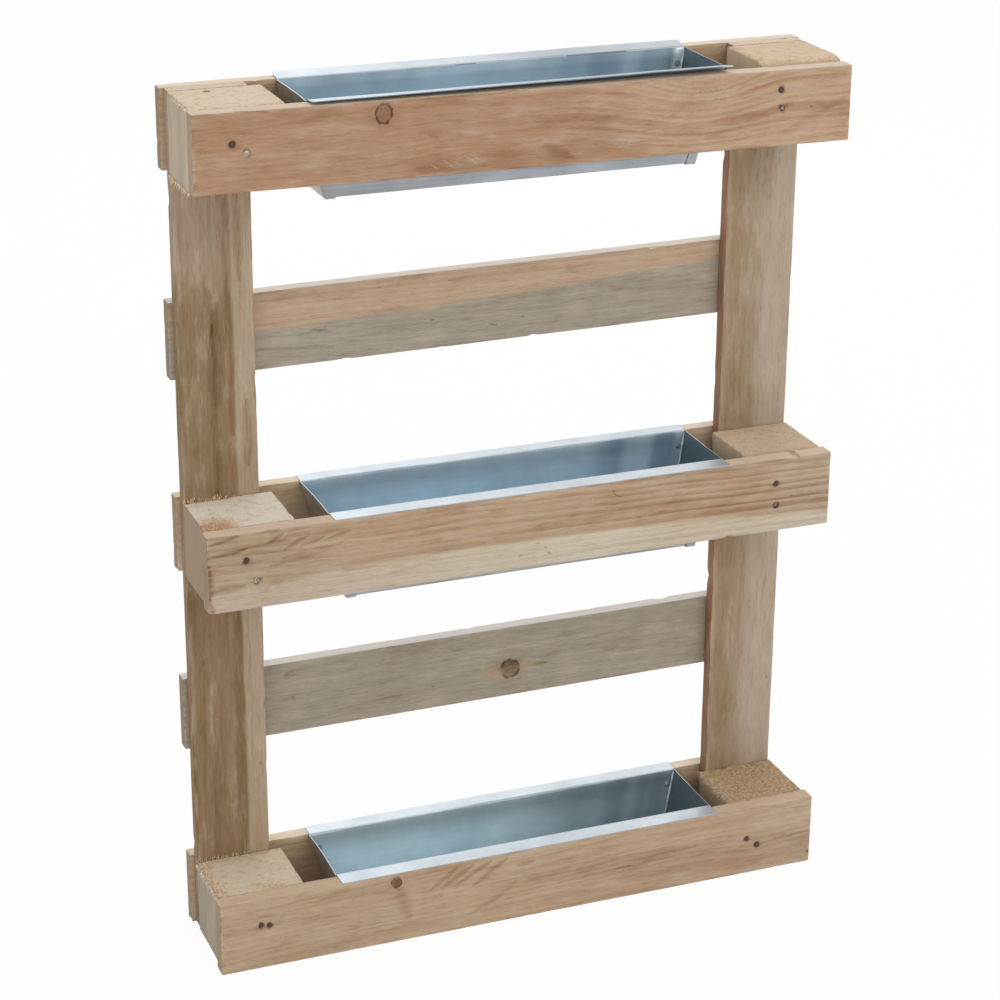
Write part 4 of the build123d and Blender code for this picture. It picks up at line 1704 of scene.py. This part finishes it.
class PLANTER_OT_trough_seams(bpy.types.Operator):
    """Models the solder in the inside corners of the troughs, and finishes the rivets"""

    bl_idname = "planter.trough_seams"
    bl_label = "Trough Seams"

    def execute(self, context):
        sizes = trough_sizes()
        solder = zinc_material("solder", 21.0)
        worn_zinc, dark_zinc = ([share * part for part in colours().dull_zinc] for share in (0.9, 0.72))
        rivet_finish = steel_material("rivet_zinc", worn_zinc, dark_zinc, 0.6)
        for row in row_names:
            outline = trough_outline(row)
            base, rim = outline.base + sizes.sheet, outline.rim - 0.002
            beads = []
            for side in side_names:
                inset = inward_step[side] * 0.0004
                x_base, x_rim = outline.ends_base[side] + inset, outline.ends_rim[side] + inset
                front_foot = Vector((x_base, outline.front_base + sizes.sheet, base))
                rear_foot = Vector((x_base, outline.rear_base - sizes.sheet, base))
                front_top = Vector((x_rim, outline.front_rim + sizes.sheet, rim))
                rear_top = Vector((x_rim, outline.rear_rim - sizes.sheet, rim))
                lines = ((front_foot, front_top), (rear_foot, rear_top), (front_foot, rear_foot))
                beads += [solder_bead(start, end, sizes.seam_width) for start, end in lines]
            seams = join_all(f"solder_{row}", beads)
            smooth(seams, 60)
            dress(seams, solder)
            keep_piece(seams, f"trough_{row}", "zinc_sheet")
            dress(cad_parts[f"trough_{row}_rivets"], rivet_finish)
        return {"FINISHED"}


fringes = {
    "block_bottom_left": (
        ((0, 0, 1), (0, 1, 1), (-1, 0, -0.6), 90),
        ((0, 1, 1), (0.6, 1, 1), (0, -0.3, 1), 45),
    ),
    "block_middle_left": (((0, 1, 1), (0.6, 1, 1), (0, -0.3, 1), 70),),
    "block_top_left": (
        ((0, 0, 0), (0, 1, 0), (-0.4, 0, -1), 60),
        ((0, 0, 1), (0, 0.7, 1), (-1, 0, -0.5), 45),
    ),
    "block_bottom_right": (
        ((0, 0, 1), (1, 0, 1), (0, -1, 0.15), 150),
        ((0, 0, 1), (0, 1, 1), (-1, 0, -0.5), 90),
    ),
}
fibre_counts = {"block_bottom_right": 900, "block_middle_left": 520, "block_bottom_left": 320}
usual_fibre_count = 200
most_tries = 12000
left_limit = -0.2996


def splinter_pattern():
    """One loose fibre, tapered and slightly bent, standing along Z."""
    fibre = add_piece(
        "loose_fibre",
        bpy.ops.mesh.primitive_cone_add,
        vertices=4,
        radius1=0.5,
        radius2=0.12,
        depth=1,
        location=(0, 0, 0.5),
    )
    with editing(fibre):
        cut_up(fibre, "EDGE", lambda edge: abs(edge.verts[0].co.z - edge.verts[1].co.z) > 0.5, 2)
    for vertex in fibre.data.vertices:
        vertex.co.x += 0.6 * vertex.co.z**2
    return fibre


def plant_fibre(mesh, pattern, matrix, ceiling):
    """Adds one loose fibre to a mesh, kept under a ceiling and not past the left end of the boards."""
    before = len(mesh.verts)
    mesh.from_mesh(pattern.data)
    mesh.verts.ensure_lookup_table()
    fresh = mesh.verts[before:]
    bmesh.ops.transform(mesh, matrix=matrix, verts=fresh)
    for vertex in fresh:
        vertex.co.z = min(vertex.co.z, ceiling)
        vertex.co.x = max(vertex.co.x, left_limit)


def scatter_fibres(mesh, pattern, node, draw):
    """Scatters loose fibres over the torn top of a block."""
    low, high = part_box(node)
    margin = 0.002
    tries = 0
    placed = 0
    while placed < fibre_counts.get(node, usual_fibre_count) and tries < most_tries:
        tries += 1
        x = draw.uniform(low.x + margin, high.x - margin)
        place = Vector((x, draw.uniform(low.y + margin, high.y - margin), high.z))
        if draw.random() > 0.08 + torn_share(node, place, low, high):
            continue
        tall = draw.uniform(0.0016, 0.0046)
        width = draw.uniform(0.0003, 0.0007)
        lean = Euler((draw.uniform(1.0, 1.5), 0, draw.uniform(0, full_turn)))
        place.z -= draw.uniform(0.0012, 0.0018)
        matrix = Matrix.Translation(place) @ lean.to_matrix().to_4x4()
        plant_fibre(mesh, pattern, matrix @ Matrix.Diagonal((width, width, tall, 1)), high.z)
        placed += 1


def hang_fringe(mesh, pattern, node, fringe, draw):
    """Hangs loose fibres along an edge of a block, given by shares of its box and a direction."""
    low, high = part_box(node)
    start, end, direction, count = fringe
    for _ in range(count):
        share = draw.random()
        shares = [start[i] + (end[i] - start[i]) * share for i in range(3)]
        place = Vector([low[i] + (high[i] - low[i]) * shares[i] for i in range(3)])
        place.z -= 0.0012 if start[2] else -0.0006
        lean = Vector(direction) + Vector([draw.uniform(-0.5, 0.5) for axis in range(3)])
        width = draw.uniform(0.0004, 0.0009)
        size = Matrix.Diagonal((width, width, draw.uniform(0.0025, 0.0062), 1))
        turn = lean.to_track_quat("Z", "Y").to_matrix().to_4x4()
        plant_fibre(mesh, pattern, Matrix.Translation(place) @ turn @ size, high.z + 0.004)


class PLANTER_OT_splinters(bpy.types.Operator):
    """Scatters loose fibres over the torn end grain of the blocks"""

    bl_idname = "planter.splinters"
    bl_label = "Splinters"

    def execute(self, context):
        pattern = splinter_pattern()
        draw = random.Random(64)
        for node, finish in block_finishes.items():
            mesh = bmesh.new()
            scatter_fibres(mesh, pattern, node, draw)
            for fringe in fringes.get(node, ()):
                hang_fringe(mesh, pattern, node, fringe, draw)
            data = bpy.data.meshes.new("splinters_" + node)
            mesh.to_mesh(data)
            mesh.free()
            splinters = bpy.data.objects.new("splinters_" + node, data)
            context.scene.collection.objects.link(splinters)
            dress(splinters, splinter_material(node + "_splinters", finish))
            keep_piece(splinters, "frame", "block_wood")
        bpy.data.objects.remove(pattern)
        return {"FINISHED"}


lamp_places = {
    "key": ((1.1, -3.2, 2.5), 2.6),
    "fill": ((-2.6, -2.2, 1.3), 2.0),
    "rear": ((1.3, 2.8, 2.4), 2.2),
}
lamp_aim = Vector((0, 0, 0.4))
floor_tones = ((0.88, 0.88, 0.88, 1), (0.92, 0.92, 0.92, 1))
floor_white = 0.94


class PLANTER_OT_stage(bpy.types.Operator):
    """Sets the pale floor, the soft lamps, the even light and the camera"""

    bl_idname = "planter.stage"
    bl_label = "Stage"

    def execute(self, context):
        setting = context.scene.planter_stage
        self.lay_floor(setting)
        self.light_world(context, setting)
        for name, (place, size) in lamp_places.items():
            self.hang_lamp(name + "_lamp", place, size, getattr(setting, name + "_power"))
        self.place_camera(context, setting)
        context.scene.view_settings.view_transform = "Standard"
        return {"FINISHED"}

    def lay_floor(self, setting):
        add_plane = bpy.ops.mesh.primitive_plane_add
        floor = add_piece("floor", add_plane, size=setting.floor_size, location=(0, 0, 0))
        material, tree = new_material("pale_floor")
        grain = tree.cloud(tree.millimetres(), (0.004, 0.004, 0.004))
        tree.finish(colour=tree.cover(grain, *floor_tones), roughness=0.9)
        glow = tree.add("Emission", {"Color": white})
        tree.seen_white(tree.nodes["Principled BSDF"].outputs[0], glow, floor_white, "Material Output")
        dress(floor, material)

    def light_world(self, context, setting):
        world = bpy.data.worlds.new("studio")
        world.use_nodes = True
        context.scene.world = world
        tree = Tree(world.node_tree)
        even = tree.nodes["Background"]
        even.inputs["Color"].default_value = white
        even.inputs["Strength"].default_value = setting.ambient
        plain = tree.add("Background", {"Color": white, "Strength": 1.0})
        tree.seen_white(even.outputs[0], plain, 1.0, "World Output")

    def hang_lamp(self, name, place, size, power):
        bpy.ops.object.light_add(type="AREA", location=place)
        lamp = bpy.context.object
        lamp.name = name
        lamp.data.name = name
        lamp.data.size = size
        lamp.data.energy = power
        lamp.visible_camera = False
        aim = lamp_aim - Vector(place)
        lamp.rotation_euler = aim.to_track_quat("-Z", "Y").to_euler()

    def place_camera(self, context, setting):
        azimuth, elevation = setting.azimuth, setting.elevation
        level = math.cos(elevation)
        back = Vector((math.sin(azimuth) * level, -math.cos(azimuth) * level, math.sin(elevation)))
        data = bpy.data.cameras.new("photo_view")
        data.lens = setting.lens
        data.sensor_width = 36
        camera = bpy.data.objects.new("photo_view", data)
        context.scene.collection.objects.link(camera)
        turn = (-back).to_track_quat("-Z", "Y").to_matrix().to_4x4()
        turn = turn @ Matrix.Rotation(setting.roll, 4, "Z")
        camera.matrix_world = Matrix.Translation(Vector(setting.aim) + back * setting.distance) @ turn
        context.scene.camera = camera


class PLANTER_OT_finishes(bpy.types.Operator):
    """Builds the node groups that the timber and zinc finishes share"""

    bl_idname = "planter.finishes"
    bl_label = "Shared Finishes"

    def execute(self, context):
        for build in (grain_group, knot_group, sapwood_group, stroke_group, weather_group, zinc_group):
            build()
        return {"FINISHED"}


build_order = (
    PLANTER_OT_finishes,
    PLANTER_OT_front_boards,
    PLANTER_OT_uprights,
    PLANTER_OT_rear_slats,
    PLANTER_OT_blocks,
    PLANTER_OT_splinters,
    PLANTER_OT_nails,
    PLANTER_OT_trough_channels,
    PLANTER_OT_trough_ends,
    PLANTER_OT_trough_seams,
    PLANTER_OT_stage,
)

setting_groups = {
    "planter_timber": PlanterTimber,
    "planter_trough": PlanterTrough,
    "planter_nails": PlanterNails,
    "planter_colours": PlanterColours,
    "planter_stage": PlanterStage,
}


class PLANTER_PT_build(bpy.types.Panel):
    """Lists the steps that build the planter, and its settings"""

    bl_idname = "PLANTER_PT_build"
    bl_label = "Herb Planter"
    bl_space_type = "VIEW_3D"
    bl_region_type = "UI"
    bl_category = "Planter"

    def draw(self, context):
        for operator in build_order:
            self.layout.operator(operator.bl_idname)
        for label, group in setting_groups.items():
            box = self.layout.box()
            for setting in group.bl_rna.properties.keys():
                if setting not in ("rna_type", "name"):
                    box.prop(getattr(context.scene, label), setting)


def register():
    for label, group in setting_groups.items():
        bpy.utils.register_class(group)
        setattr(bpy.types.Scene, label, bpy.props.PointerProperty(type=group))
    for operator in build_order:
        bpy.utils.register_class(operator)
    bpy.utils.register_class(PLANTER_PT_build)


def unregister():
    bpy.utils.unregister_class(PLANTER_PT_build)
    for operator in reversed(build_order):
        bpy.utils.unregister_class(operator)
    for label, group in setting_groups.items():
        delattr(bpy.types.Scene, label)
        bpy.utils.unregister_class(group)


def main():
    register()
    bpy.ops.planter.finishes()
    bpy.ops.planter.front_boards()
    bpy.ops.planter.uprights()
    bpy.ops.planter.rear_slats()
    bpy.ops.planter.blocks()
    bpy.ops.planter.splinters()
    bpy.ops.planter.nails()
    bpy.ops.planter.trough_channels()
    bpy.ops.planter.trough_ends()
    bpy.ops.planter.trough_seams()
    bpy.ops.planter.stage()


if __name__ == "__main__":
    main()
